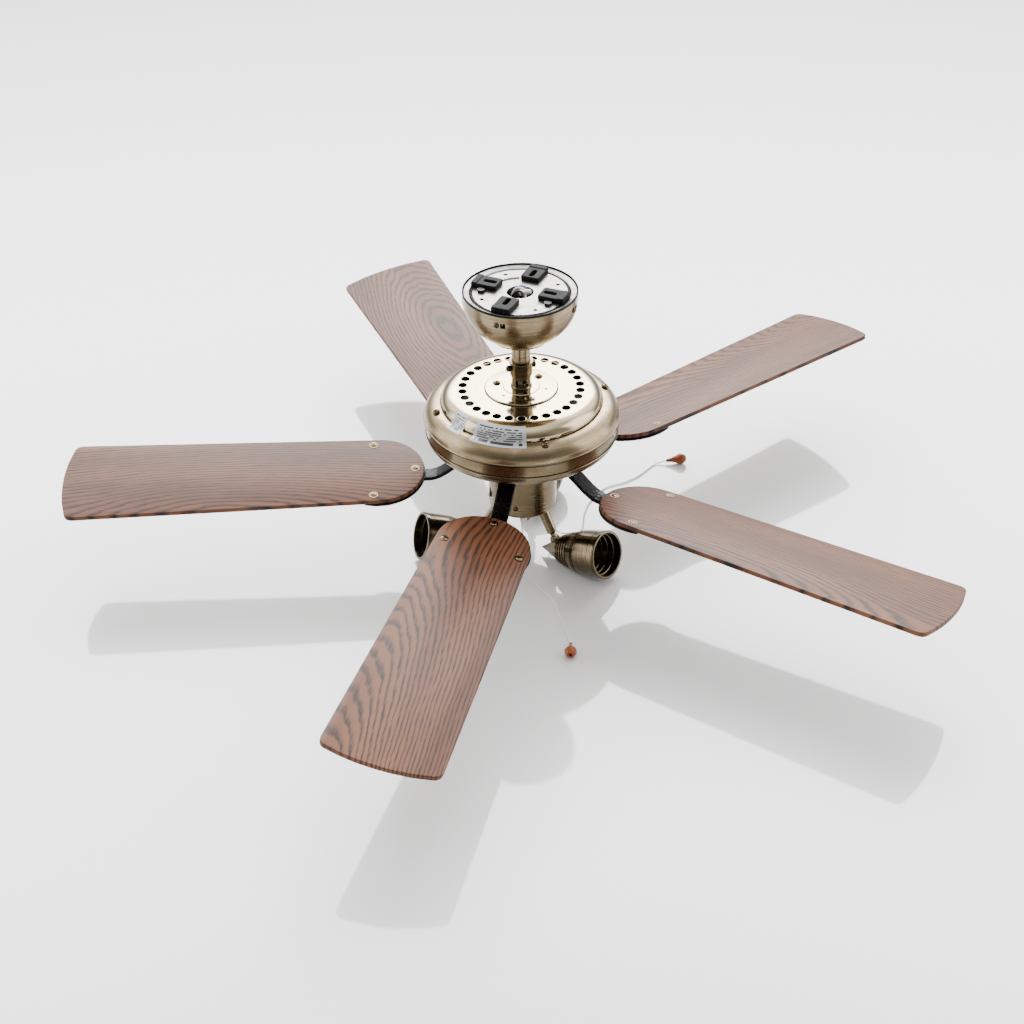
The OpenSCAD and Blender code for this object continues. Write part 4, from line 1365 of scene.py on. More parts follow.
@dataclass
class Hanger:
    """Downrod and the yoke that clamps it to the motor."""

    palette: Palette
    rod_r: float = 10.5
    rod_wall: float = 2.4
    rod_top: float = -15.0
    yoke_foot: float = level(216.8)
    yoke_top: float = level(250.0)
    bolt_h: float = level(242.0)
    window_turn: float = -76.0
    body: str = "fan_frame"

    def rod(self) -> None:
        """Plated tube."""
        low, inner = self.yoke_foot + 10.7, self.rod_r - self.rod_wall
        draft = Draft()
        draft.revolve(softened([
            (inner, low), (self.rod_r, low), (self.rod_r, self.rod_top), (inner, self.rod_top),
        ], 0.4), 72)
        piece = dress(draft.finish("downrod_tube"), self.palette["antique_brass"])
        wrap_round(piece, Matrix.Identity(4), self.rod_r)
        hand_over(piece, self.body, "antique_brass", "downrod")

    def yoke(self) -> None:
        """Cast collar with a flared lip, a foot and a window for the leads."""
        foot, top = self.yoke_foot, self.yoke_top
        section = [
            (8.1, foot), (12.2, foot), (12.2, foot + 1.4), (11.1, foot + 2.4), (11.0, foot + 12.5), (
                12.3, foot + 15.5
            ),
            (12.9, foot + 19), (13.1, top - 4), (13.3, top - 2.6), (14.1, top - 1.6), (14.1, top - 0.3), (
                13.6, top
            ),
            (self.rod_r + 0.1, top), (self.rod_r + 0.1, foot + 10.6), (8.1, foot + 10.6),
        ]
        draft = Draft()
        draft.revolve(softened(section, 0.5), 72)
        piece = draft.finish("yoke_casting")
        cutter = Draft()
        arch = [(-4.5, foot + 4), (4.5, foot + 4)] + arc((0, foot + 12.4), (4.5, 4.5), 0, 180, 10)
        cutter.prism(arch, 0, 20, 0.01, (), 1, turned(self.window_turn) @ FACE_ALONG_X)
        knife = cutter.finish("yoke_window")
        cut = piece.modifiers.new("window", "BOOLEAN")
        cut.object = knife
        cut.solver = "EXACT"
        mesh = bpy.data.meshes.new_from_object(piece.evaluated_get(bpy.context.evaluated_depsgraph_get()))
        for spent in (piece, knife):
            bpy.data.objects.remove(spent)
        mesh.name = "yoke_casting"
        piece = dress(to_object("yoke_casting", mesh), self.palette["bronzed_brass"])
        wrap_round(piece, Matrix.Identity(4), 12.0)
        hand_over(piece, self.body, "antique_brass", "motor_yoke")

    def bolts(self) -> None:
        """Cross bolt with its nut, and the set screw."""
        draft = Draft()
        hexagon = [(4.4 * math.cos(TAU * k / 6), 4.4 * math.sin(TAU * k / 6)) for k in range(6)]
        lying = Matrix.Rotation(math.radians(90), 4, "Y")
        across = moved(0, 0, self.bolt_h) @ turned(45) @ lying
        draft.prism(hexagon, 13.3, 16.8, 0.5, (), 2, across)
        draft.prism([(0.95 * x, 0.95 * y) for x, y in hexagon], -16.8, -13.4, 0.5, (), 2, across)
        draft.revolve(softened([(0, -18.0), (2.4, -18.0), (2.4, 17.6), (0, 17.6)], 0.5), 24, across)
        set_screw = moved(0, 0, self.yoke_foot + 7) @ turned(-38) @ lying
        draft.revolve(softened([
            (0, 10.5), (3.2, 10.5), (3.2, 13.0), (2.6, 13.7), (1.5, 13.7), (1.5, 12.6), (0, 12.6),
        ], 0.3), 24, set_screw)
        piece = dress(draft.finish("yoke_fixings"), self.palette["bronzed_screw"])
        hand_over(piece, self.body, "bronzed_screw", "yoke_bolts")

    def build(self) -> None:
        """Build every piece of the hanger."""
        self.rod()
        self.yoke()
        self.bolts()


# ---------- motor housing ----------


@dataclass
class MotorHousing:
    """Top cover with its vents and plate, the dome, the bowl, screws and labels."""

    palette: Palette
    screws: Recipe
    holes: Recipe
    rims: Recipe
    mirror_r: float = 74.0
    tier_r: float = 92.5
    motor_r: float = 112.0
    top: float = level(214.0)
    tier: float = level(200.0)
    band_top: float = level(181.0)
    band_low: float = level(163.0)
    bowl_low: float = level(143.0)
    wall: float = 1.5
    dome_drop: float = 17.8
    vent_at: float = 67.3
    vent_r: float = 5.0
    vent_count: int = 30
    vent_turn: float = 6.0
    body: str = "fan_frame"

    def turn(self, name: str, section: Profile, material: str, reach: float, *nodes: str) -> None:
        """Spin one section into a dressed piece, black where it faces inwards, as painted shade inside the
        shell.

        Args:
            name: the piece's name.
            section: closed outline of (radius, height) points.
            material: name of its finish.
            reach: radius in mm at which the brushed map is true to size.
            nodes: CAD nodes that it replaces.
        """
        draft = Draft()
        draft.revolve(section, 192)
        piece = dress(draft.finish(name, 30), self.palette[material], self.palette["burnished_black_and_shade"])
        # Painted shade: inward faces, the inside of the bowl and the underside of the dome take the black.
        for face in piece.data.polygons:
            out = face.center.to_2d().normalized()
            inward = face.normal.to_2d().dot(out) < -0.05
            upward = face.normal.z > 0.5 and face.center.z < self.band_low * MM
            if inward or upward or (face.normal.z < -0.5 and face.center.z > self.band_top * MM):
                face.material_index = Face.INNER_AND_SHADE
        wrap_round(piece, Matrix.Identity(4), reach)
        hand_over(piece, self.body, "antique_brass", *nodes)

    def cover(self) -> None:
        """Flat top with a ring of vents, rolled down to the groove."""
        drop = self.top - self.tier
        outer = arc((self.mirror_r, self.tier), (self.tier_r - self.mirror_r, drop), 90, 0, 14)
        inner = arc(
            (self.mirror_r, self.tier), (self.tier_r - self.mirror_r - self.wall, drop - self.wall), 90, 0, 10
        )
        section = [(8.6, self.top), (60.0, self.top)] + outer + inner[::-1]
        section += [(60.0, self.top - self.wall), (8.6, self.top - self.wall)]
        draft = Draft()
        draft.revolve(section, 192)
        piece = self.holes.run(
            draft.finish("motor_top_cover"), "motor_top_cover", self.palette["mirror_brass"],
            Count=self.vent_count, Ring_radius=self.vent_at * MM, Hole_radius=self.vent_r * MM,
            Level=self.top * MM, Depth=6 * MM, First_turn=math.radians(
                self.vent_turn
            ), Sides=32, Outward=0.0, Length=1.0,
        )
        wrap_round(piece, Matrix.Identity(4), 75.0)
        # Painted shade: the vent walls and the cover's underside and inner faces take the black, so that the
        # vents read as dark holes.
        piece.data.materials.append(self.palette["burnished_black_and_shade"])
        for face in piece.data.polygons:
            out = face.center.to_2d()
            inward = face.normal.z < -0.02 or face.normal.to_2d().dot(out.normalized()) < -0.02
            if (inward or out.length < self.mirror_r * MM) and face.normal.z < 0.3:
                face.material_index = Face.INNER_AND_SHADE
        hand_over(piece, self.body, "antique_brass", "top_cover")
        spots = []
        for k in range(self.vent_count):
            way = turned(self.vent_turn + 360 * k / self.vent_count) @ Vector(
                (self.vent_at, 0, self.top - 0.05)
            )
            spots.append((way, Vector((0, 0, 1))))
        rims = self.rims.run(
            carrier_of("vent_points", spots), "vent_rims", self.palette["polished_brass"],
            Rim_radius=(self.vent_r + 0.25) * MM, Wire_radius=0.25 * MM,
        )
        wrap_round(rims, Matrix.Identity(4), 70.0)
        hand_over(rims, self.body, "antique_brass")

    def shells(self) -> None:
        """Dome with its bead and band, bowl, and the raised plate under the yoke."""
        rim, low = self.motor_r, self.band_top
        outer = arc((93.0, low), (rim - 93.0, self.dome_drop), 90, 4, 14)
        inner = arc((93.0, low), (rim - 93.0 - self.wall, self.dome_drop - self.wall), 90, 0, 10)
        bead = arc((rim - 0.1, low - 0.7), (1.0, 0.85), 80, -80, 6)
        dome = [(88.6, low + self.dome_drop)] + outer + bead
        dome += [(rim - 0.4, low - 2.4), (rim - 1.4, self.band_low + 1.0), (rim - 2.9, self.band_low + 1.0),
                 (rim - 1.9, low - 2.4)]
        self.turn("motor_dome", dome + inner[::-1] + [(88.6, low + self.dome_drop - self.wall)],
                  "antique_brass", rim, "housing_dome")
        bowl_r, start = rim - 1.6, self.band_low - 1.6
        outer = arc((74.0, start), (bowl_r - 74.0, start - self.bowl_low), 0, -90, 18)
        inner = arc((74.0, start), (bowl_r - 74.0 - self.wall, start - self.bowl_low - self.wall), 0, -90, 12)
        bead = arc((bowl_r + 0.1, self.band_low - 0.1), (0.9, 0.9), 90, -80, 6)
        bowl = [(bowl_r - self.wall, self.band_low + 0.8)] + bead + outer
        bowl += [(68.0, self.bowl_low), (68.0, self.bowl_low + self.wall)] + inner[::-1]
        self.turn("motor_bowl", bowl, "antique_brass", rim, "housing_bowl")
        # Painted shadow: thin black rings lie in the housing's seams, dressed in the rubber's black.
        seam_shadow_rings = Draft()
        for radius, height, wide in (
            (92.3, self.tier - 1.25, 1.0), (41.5, self.top, 0.7), (rim - 1.3, low - 3.3, 1.1),
            (rim - 2.2, self.band_low + 0.75, 1.5),
        ):
            seam_shadow_rings.revolve([
                (radius, height), (radius + wide, height), (radius + wide, height + 0.5), (
                    radius, height + 0.5
                ),
            ], 160)
        hand_over(
            dress(seam_shadow_rings.finish("seam_shadows"), self.palette["black_rubber"]), self.body, "black_rubber"
        )
        base = self.top
        plate = [(8.6, base), (41.6, base)] + arc((40.4, base + 0.8), (1.2, 1.2), 0, 90, 5)
        plate += [(21.2, base + 2.0), (20.7, base + 2.5), (20.2, base + 2.8), (8.6, base + 2.8)]
        self.turn("motor_top_plate", plate, "mirror_brass", 40.0, "top_plate")

    def fixings(self) -> None:
        """Cross-head screws on the plate, the dome and the switch housing."""
        up = Vector((0, 0, 1))
        plate = [(turned(70 + 120 * k) @ Vector((28.8, 0, self.top + 2.0)), up) for k in range(3)]
        dome = []
        for k in range(4):
            spot = turned(39 + 90 * k)
            dome.append((spot @ Vector((99.8, 0, self.tier - 1.5)), spot @ Vector((0.36, 0, 1)).normalized()))
        plugs = Draft()
        for k in range(3):
            plugs.revolve(softened([(0, 0.1), (1.95, 0.1), (1.95, 0.25), (0, 0.25)], 0.05), 20,
                          turned(10 + 120 * k) @ moved(28.8, 0, self.top + 1.9))
        hand_over(
            dress(plugs.finish("plate_plugs"), self.palette["burnished_black_and_shade"]), self.body, "bronzed_screw"
        )
        sides = []
        for k in range(3):
            way = turned(-78 + 120 * k) @ Vector((1, 0, 0))
            sides.append((way * 39.6 + Vector((0, 0, level(72.8))), way))
        for name, spots, radius, height in (
            ("plate_screws", plate, 4.4, 2.5), ("dome_screws", dome, 4.3, 2.8), (
                "switch_housing_screws", sides, 3.0, 2.0
            ),
        ):
            piece = self.screws.run(
                carrier_of(name + "_points", spots), name, self.palette["bronzed_screw"],
                Head_radius=radius * MM, Head_height=height * MM, Recess_width=1.0 * MM,
                Recess_depth=1.2 * MM,
                Washer_radius=(radius + 0.2) * MM, Washer_height=0.5 * MM,
            )
            hand_over(piece, self.body, "bronzed_screw", "housing_screws")

    def label(self, name: str, start: float, end: float, upper: float, lower: float) -> bpy.types.Object:
        """Lay a foil label over the groove, its map running from corner to corner.

        Args:
            name: the piece's name.
            start: angle of its first edge about the fan's axis, in degrees.
            end: angle of its last edge.
            upper: angle on the cover's roll where it starts, in degrees.
            lower: angle on the dome where it ends.

        Returns:
            The dressed label.
        """
        rows: Profile = arc((self.mirror_r, self.tier), (18.85, 14.35), upper, 12, 8)
        rows += arc((93.0, self.band_top), (19.35, 18.15), 84, lower, 6)
        back = [(r - 0.25, z - 0.2) for r, z in rows]
        steps = 24
        draft = Draft()
        grid: list[list[list[int]]] = []
        for side in (rows, back):
            grid.append([])
            for r, z in side:
                grid[-1].append([
                    draft.add_corner(turned(start + (end - start) * k / steps) @ Vector((r, 0, z)), None)
                    for k in range(steps + 1)
                ])
        for number, layer in enumerate(grid):
            for i in range(len(rows) - 1):
                for k in range(steps):
                    quad = [layer[i][k], layer[i + 1][k], layer[i + 1][k + 1], layer[i][k + 1]]
                    draft.add_face(quad if number == 0 else quad[::-1])
        face, under = grid
        edge_top, edge_low = [face[0], under[0]], [face[-1], under[-1]]
        for (a, b), flip in ((edge_top, False), (edge_low, True)):
            for k in range(steps):
                quad = [a[k], a[k + 1], b[k + 1], b[k]]
                draft.add_face(quad[::-1] if flip else quad)
        for k, flip in ((0, False), (steps, True)):
            for i in range(len(rows) - 1):
                quad = [face[i][k], under[i][k], under[i + 1][k], face[i + 1][k]]
                draft.add_face(quad[::-1] if flip else quad)
        piece = dress(draft.finish(name), self.palette["foil_label"])
        layer = piece.data.uv_layers.new(name="sheet")
        high, low = rows[0][1], rows[-1][1]
        middle = math.radians((start + end) / 2)
        for loop in piece.data.loops:
            spot = piece.data.vertices[loop.vertex_index].co / MM
            turn = (math.atan2(spot.y, spot.x) - middle + math.pi) % TAU - math.pi
            across = 0.5 + math.degrees(turn) / (end - start)
            layer.data[loop.index].uv = (across, (spot.z - low) / (high - low))
        return piece

    def labels(self) -> None:
        """Two foil labels at the front of the motor."""
        wide = self.label("rating_label", -101, -63, 66, 62)
        small = self.label("inspection_label", -122.8, -110, 63, 64)
        hand_over(wide, self.body, "foil_label", "labels")
        hand_over(small, self.body, "foil_label", "labels")

    def build(self) -> None:
        """Build every piece of the housing."""
        self.cover()
        self.shells()
        self.fixings()
        self.labels()


# ---------- blades ----------


@dataclass
class Rotor:
    """Five irons and five pitched blades with their screws."""

    palette: Palette
    screws: Recipe
    pitch: float = 8.8
    blade_h: float = 110.0
    blade_t: float = 5.5
    root_r: float = 114.5
    root_half: float = 53.0
    tip_r: float = 534.0
    tip_half: float = 62.0
    tip_round: float = 9.0
    tip_bow: float = 9.0
    hole_in: float = 125.1
    hole_pair: tuple[float, float] = (173.7, 43.2)
    iron_half: float = 10.0
    iron_t: float = 4.6
    iron_in: float = 41.5
    bend_in: float = 51.0
    bend_out: float = 110.0
    iron_out: float = 128.0
    iron_high: float = 128.7
    iron_low: float = 100.0
    body: str = "rotor"

    def blade_place(self, number: int) -> Matrix:
        """Place of a blade's own plane.

        Args:
            number: 0 to 4, counterclockwise.

        Returns:
            The matrix, in mm.
        """
        lean = Matrix.Rotation(math.radians(-self.pitch), 4, "X")
        return turned(BLADE_TURN + 72 * number) @ moved(0, 0, level(self.blade_h)) @ lean

    def blade_outline(self) -> Profile:
        """Plan of a blade: half round root, straight sides, bowed tip with soft corners."""
        middle = self.root_r + self.root_half
        bow_r = (self.tip_half ** 2 + self.tip_bow ** 2) / (2 * self.tip_bow)
        corner = (self.tip_r - self.tip_bow, self.tip_half)
        outline = [(corner[0], -corner[1])] + arc((self.tip_r - bow_r, 0), (bow_r, bow_r), -9.5, 9.5, 10) + [
            corner
        ]
        outline += arc((middle, 0), (self.root_half, self.root_half), 90, 270, 48)
        return softened(outline, self.tip_round, 24, 8)

    def blade(self, number: int) -> None:
        """One veneered blade with a dark moulded edge.

        Args:
            number: 0 to 4, counterclockwise.
        """
        draft = Draft()
        place = self.blade_place(number)
        draft.prism(self.blade_outline(), -self.blade_t, 0, 1.0, (), 3, place, 1)
        name = f"oak_blade_{number + 1}"
        piece = dress(draft.finish(name, 50), self.palette["oak_veneer"], self.palette["mahogany_edge"])
        lay_flat(piece, place, (0.9 * number, (0.062, -0.05, 0.03, -0.068, 0.052)[number]))
        hand_over(piece, self.body, "oak_veneer", f"blade_{number + 1}")

    def iron_height(self, radius: float) -> float:
        """Height of the strap's middle: flat, a cosine fall, flat again.

        Args:
            radius: distance from the fan's axis in mm.

        Returns:
            Height in mm above the standing plane.
        """
        share = min(max((radius - self.bend_in) / (self.bend_out - self.bend_in), 0.0), 1.0)
        return self.iron_low + (self.iron_high - self.iron_low) * (1 + math.cos(math.pi * share)) / 2

    def iron(self, number: int) -> None:
        """Cast strap, lacquered black above with bare brass edges, and its crescent under the blade.

        Args:
            number: 0 to 4, counterclockwise.
        """
        radii = [self.iron_in] + [self.bend_in + (self.bend_out - self.bend_in) * k / 20 for k in range(21)]
        radii.append(self.iron_out)
        arm = turned(BLADE_TURN + 72 * number)
        frames = []
        for radius in radii:
            slope = self.iron_height(radius + 0.5) - self.iron_height(radius - 0.5)
            if radius in (self.iron_in, self.iron_out):
                slope = 0.0
            lean = Matrix.Rotation(-math.atan(slope), 4, "Y")
            frames.append(arm @ moved(radius, 0, level(self.iron_height(radius))) @ lean @ FACE_ALONG_X)
        half, tall = self.iron_half, self.iron_t / 2
        section = [
            (half, -tall + 0.9), (half, tall - 0.9), (half - 0.5, tall - 0.25), (half - 1.3, tall), (
                1.5 - half, tall
            ),
            (0.5 - half, tall - 0.25), (-half, tall - 0.9), (-half, -tall + 0.9), (1.0 - half, -tall), (
                half - 1.0, -tall
            ),
        ]
        draft = Draft()
        draft.sweep(frames, section, [1, 1, 0, 0, 0, 1, 1, 1, 1, 1])
        middle = self.root_r + self.root_half
        outer = self.root_half + 1.2
        neck = 17.0
        reach = math.degrees(math.acos(neck / outer))
        hollow_r = 38.0
        crescent = arc((middle, 0), (outer, outer), reach, 360 - reach, 60)
        crescent += arc((middle + neck, 0), (hollow_r, hollow_r), 270, 90, 40)
        draft.prism(
            crescent, -self.blade_t - 3.0, -self.blade_t - 0.02, 0.7, (), 2, self.blade_place(number), 1
        )
        name = f"cast_iron_{number + 1}"
        piece = dress(draft.finish(name), self.palette["black_iron"], self.palette["brass_edge"])
        hand_over(piece, self.body, "black_iron", f"blade_iron_{number + 1}")

    def fixings(self) -> None:
        """Three brass screws on each blade, and two under each iron."""
        tops, unders = [], []
        for number in range(BLADE_COUNT):
            place = self.blade_place(number)
            way = (place.to_3x3() @ Vector((0, 0, 1))).normalized()
            for spot in (
                (self.hole_in, 0), (self.hole_pair[0], self.hole_pair[1]),
                (self.hole_pair[0], -self.hole_pair[1])
            ):
                tops.append((place @ Vector((*spot, 0)), way))
            arm = turned(BLADE_TURN + 72 * number)
            for side in (-6, 6):
                unders.append(
                    (arm @ Vector((46, side, level(self.iron_high) - self.iron_t / 2)), Vector((0, 0, -1)))
                )
        top = self.screws.run(
            carrier_of("blade_screw_points", tops), "blade_screw_heads", self.palette["screw_brass"],
            Head_radius=3.9 * MM, Head_height=1.55 * MM, Recess_width=0.9 * MM, Recess_depth=0.9 * MM,
            Washer_radius=5.2 * MM, Washer_height=0.45 * MM,
        )
        hand_over(top, self.body, "polished_brass", "blade_screws")
        under = self.screws.run(
            carrier_of("iron_screw_points", unders), "iron_screw_heads", self.palette["bronzed_screw"],
            Head_radius=3.4 * MM, Head_height=2.1 * MM, Recess_width=0.9 * MM, Recess_depth=1.0 * MM,
            Washer_radius=3.8 * MM, Washer_height=0.4 * MM,
        )
        hand_over(under, self.body, "bronzed_screw", "iron_screws")

    def build(self) -> None:
        """Build the five irons and blades, and their screws."""
        for number in range(BLADE_COUNT):
            self.iron(number)
            self.blade(number)
        self.fixings()


# ---------- switch housing ----------


@dataclass
class SwitchHousing:
    """The drum under the motor, its plate and the bushes of the pull chains."""

    palette: Palette
    holes: Recipe
    radius: float = 39.8
    top: float = level(124.0)
    low: float = level(62.0)
    plate_low: float = level(60.0)
    body: str = "fan_frame"

    def drum(self) -> None:
        """Turned drum with the reversing switch's slot."""
        r, top, low = self.radius, self.top, self.low
        section = [
            (r - 12, top), (r - 2, top), (r, top - 2), (r, low + 1.2), (r - 0.5, low), (r - 1.4, low),
            (r - 1.4, top - 1.4), (r - 12, top - 1.4),
        ]
        draft = Draft()
        draft.revolve(softened(section, 0.5), 160)
        piece = self.holes.run(
            draft.finish("switch_drum"), "switch_drum", self.palette["antique_brass"],
            Count=1, Ring_radius=(r - 1) * MM, Hole_radius=3.11 * MM, Level=level(80) * MM, Depth=8 * MM,
            First_turn=math.radians(-138), Sides=4, Outward=1.0, Length=13 / 4.4,
        )
        wrap_round(piece, Matrix.Identity(4), r)
        hand_over(piece, self.body, "antique_brass", "switch_housing")

    def plate(self, exits: Sequence[Vector]) -> None:
        """Closing plate, with brass bushes where the chains come out.

        Args:
            exits: where each chain passes the plate, in mm.
        """
        r, low = self.radius - 0.3, self.plate_low
        draft = Draft()
        draft.revolve(softened([
            (0, low), (r - 0.8, low), (r, low + 0.6), (r, low + 1.7), (r - 1.2, low + 1.9),
            (r - 1.2, low + 3.4), (0, low + 3.4),
        ], 0.3), 128)
        piece = dress(draft.finish("light_kit_plate"), self.palette["antique_brass"])
        wrap_round(piece, Matrix.Identity(4), r)
        hand_over(piece, self.body, "antique_brass", "light_plate")
        bushes = Draft()
        for spot in exits:
            bushes.revolve(softened([
                (2.7, low - 2.0), (4.4, low - 2.2), (5.8, low - 1.2), (5.8, low - 0.1), (2.7, low - 0.1),
            ], 0.5), 32, moved(spot.x, spot.y, 0))
        bush = dress(bushes.finish("chain_bushes"), self.palette["brass_edge"])
        hand_over(bush, self.body, "polished_brass", "chain_ferrules")

    def build(self, exits: Sequence[Vector]) -> None:
        """Build every piece of the switch housing."""
        self.drum()
        self.plate(exits)


# ---------- spot heads ----------


@dataclass
class SpotLight:
    """One bullet spot head on its arm."""

    palette: Palette
    number: int
    azimuth: float
    turn: float
    mouth_r: float = 28.4
    length: float = 97.8
    head_up: float = 16.4
    arm_down: float = 59.4
    arm_r: float = 6.3
    arm_at: float = 31.0
    plate_h: float = 60.0
    knuckle_run: float = 38.0
    shoulder_s: float = 61.0
    shoulder_r: float = 18.4
    ear_r: float = 4.0
    bare_depth: float = 2.4
    nose_run: float = 7.0
    painted_shade_depth: float = 1.15
    lug_at: float = 3.45
    mouth: tuple[float, float, float] = (125.74, 0.0, -300.96)

    def arm_place(self) -> Matrix:
        """Matrix of the plane that the arm bends in, after its turn about itself."""
        foot = Vector((self.arm_at, 0, level(self.plate_h)))
        tilt = Matrix.Rotation(math.radians(90 + self.arm_down), 4, "Y")
        twist = Matrix.Rotation(math.radians(-self.turn), 4, "Z")
        there = moved(*foot)
        return turned(self.azimuth) @ there @ tilt @ twist @ tilt.inverted() @ there.inverted()

    def head_place(self) -> Matrix:
        """Matrix of the head: origin at the mouth's centre, Z out of it."""
        lean = Matrix.Rotation(math.radians(90 - self.head_up), 4, "Y")
        return self.arm_place() @ moved(*self.mouth) @ lean

    def radius_at(self, s: float) -> float:
        """Outer radius of the head.

        Args:
            s: distance behind the mouth in mm.

        Returns:
            The radius in mm.
        """
        if s <= 10:
            return self.mouth_r - 0.8 * max(s - 3, 0) / 7
        if s <= 30:
            return self.mouth_r - 0.8 - 1.1 * (s - 10) / 20
        if s <= self.shoulder_s:
            share = (s - 30) / (self.shoulder_s - 30)
            return self.mouth_r - 1.9 - (self.mouth_r - 1.9 - self.shoulder_r) * share ** 1.25
        return max(0.6, self.shoulder_r * (self.length - s) / (self.length - self.shoulder_s))

    def outline(self) -> Profile:
        """Outside and inside of the head, from the nose round the mouth to the socket's seat."""
        points: Profile = [(0.0, -self.length), (0.7, -self.length + 0.4), (1.6, -self.length + 2.6)]
        points += [(self.radius_at(s), -s) for s in (90, 80, 72, 67.2)]
        for ridge in (66.0, 61.5, 57.0, 52.5, 48.0):
            base = self.radius_at(ridge) - 0.5
            points += [(base - 1.5, -ridge - 1.1), (base + 0.4, -ridge - 0.9), (base + 0.5, -ridge + 0.7),
                       (base - 1.2, -ridge + 0.9), (self.radius_at(ridge - 2.2) - 2.1, -ridge + 1.5)]
        points += [(self.radius_at(44.5), -44.5), (self.radius_at(37), -37.2)]
        for groove in (36.2, 33.4):
            r = self.radius_at(groove)
            points += [
                (r, -groove - 0.5), (r - 0.9, -groove - 0.2), (r - 0.9, -groove + 0.3), (r, -groove + 0.6)
            ]
        points += [(self.radius_at(s), -s) for s in (31.5, 26, 20, 14, 10.6)]
        r = self.radius_at(10)
        points += [
            (r - 0.5, -10.2), (r - 0.5, -9.8), (r + 0.1, -9.4), (self.mouth_r - 0.2, -5), (self.mouth_r, -3.2)
        ]
        points += arc((self.mouth_r - 0.7, -0.7), (0.7, 0.7), 0, 90, 3)
        points += arc((self.mouth_r - 2.5, -0.5), (0.5, 0.5), 90, 180, 3)
        points += [(self.mouth_r - 3.0, -2.4)]
        for step in (10, 18, 26, 34):
            r = self.radius_at(step) - 3.0
            points += [(r, -step + 1.0), (r - 1.1, -step + 0.5), (r - 1.1, -step - 0.4), (r, -step - 1.0)]
        return points + [(self.radius_at(44) - 3, -44), (14.1, -50), (14.1, -66), (0.0, -66)]

    def head(self) -> None:
        """Turned shell with cooling ridges, baffle rings inside, and the two lugs of its knuckle."""
        place = self.head_place()
        draft = Draft()
        draft.revolve(self.outline(), 96, place, self.paint_at)
        knuckle = Vector((self.arm_at + self.knuckle_run * math.cos(math.radians(self.arm_down)), 0,
                          level(self.plate_h) - self.knuckle_run * math.sin(math.radians(self.arm_down))))
        local = (self.arm_place().inverted() @ place).inverted() @ knuckle
        lug = arc((0, 0), (self.ear_r, self.ear_r), 90, 270, 14) + [
            (9, -self.ear_r + 0.4), (9, self.ear_r - 0.4)
        ]
        for side in (-1, 1):
            put = place @ moved(local.x, side * self.lug_at, local.z) @ STAND_UP
            draft.prism(lug, -1.15, 1.15, 0.35, (), 2, put)
        name = f"spot_shell_{self.number}"
        piece = dress(draft.finish(name, 32), self.palette["bronzed_brass"], self.palette["burnished_black_and_shade"],
                      self.palette["polished_brass"])
        wrap_round(piece, place, 26.0)
        hand_over(piece, f"spot_head_{self.number}", "antique_brass", f"spot_head_{self.number}")

    def paint_at(self, r: float, z: float) -> int:
        """Choose the bare mouth; black for the cavity, and for the groove bottoms as painted shade; or
        bronze.

        Args:
            r: radius of the middle of a face, in mm.
            z: its height, with the mouth at 0 and the nose below.

        Returns:
            The face's material number.
        """
        if z > -self.bare_depth:
            return Face.BARE
        if z < -self.shoulder_s - self.nose_run:
            return Face.FINISH
        # Painted shade: faces sunk below the outer radius, the groove bottoms and the cavity, take the black.
        return Face.INNER_AND_SHADE if r < self.radius_at(-z) - self.painted_shade_depth else Face.FINISH

    def arm(self) -> None:
        """Round arm with a chamfered neck, a flat tang and the knuckle's pin."""
        axis = Matrix.Rotation(math.radians(90 + self.arm_down), 4, "Y")
        root = self.arm_place() @ moved(self.arm_at, 0, level(self.plate_h)) @ axis
        draft = Draft()
        draft.revolve(softened([
            (0, -4.8), (self.arm_r, -4.8), (self.arm_r, 26.4), (self.arm_r - 0.25, 26.7), (
                self.arm_r - 0.25, 27.3
            ),
            (self.arm_r, 27.6), (self.arm_r, 29.2), (3.5, 31.5), (3.4, 32.8), (0, 32.8),
        ], 0.35), 48, root)
        tang = arc((0, self.knuckle_run), (3.4, 3.4), 0, 180, 10) + [(-3.3, 31.6), (3.3, 31.6)]
        draft.prism(tang, -2.0, 2.0, 0.3, (), 2, root @ STAND_UP)
        pin = root @ moved(0, 0, self.knuckle_run) @ Matrix.Rotation(math.radians(90), 4, "X")
        draft.revolve(softened([(0, -5.1), (1.5, -5.1), (1.5, 5.1), (0, 5.1)], 0.3), 20, pin)
        name = f"spot_stem_{self.number}"
        piece = dress(draft.finish(name), self.palette["antique_brass"])
        wrap_round(piece, root, self.arm_r)
        hand_over(piece, f"spot_arm_{self.number}", "antique_brass", f"spot_arm_{self.number}")

    def build(self) -> None:
        """Build the arm and the head."""
        self.arm()
        self.head()


# ---------- pull chains ----------


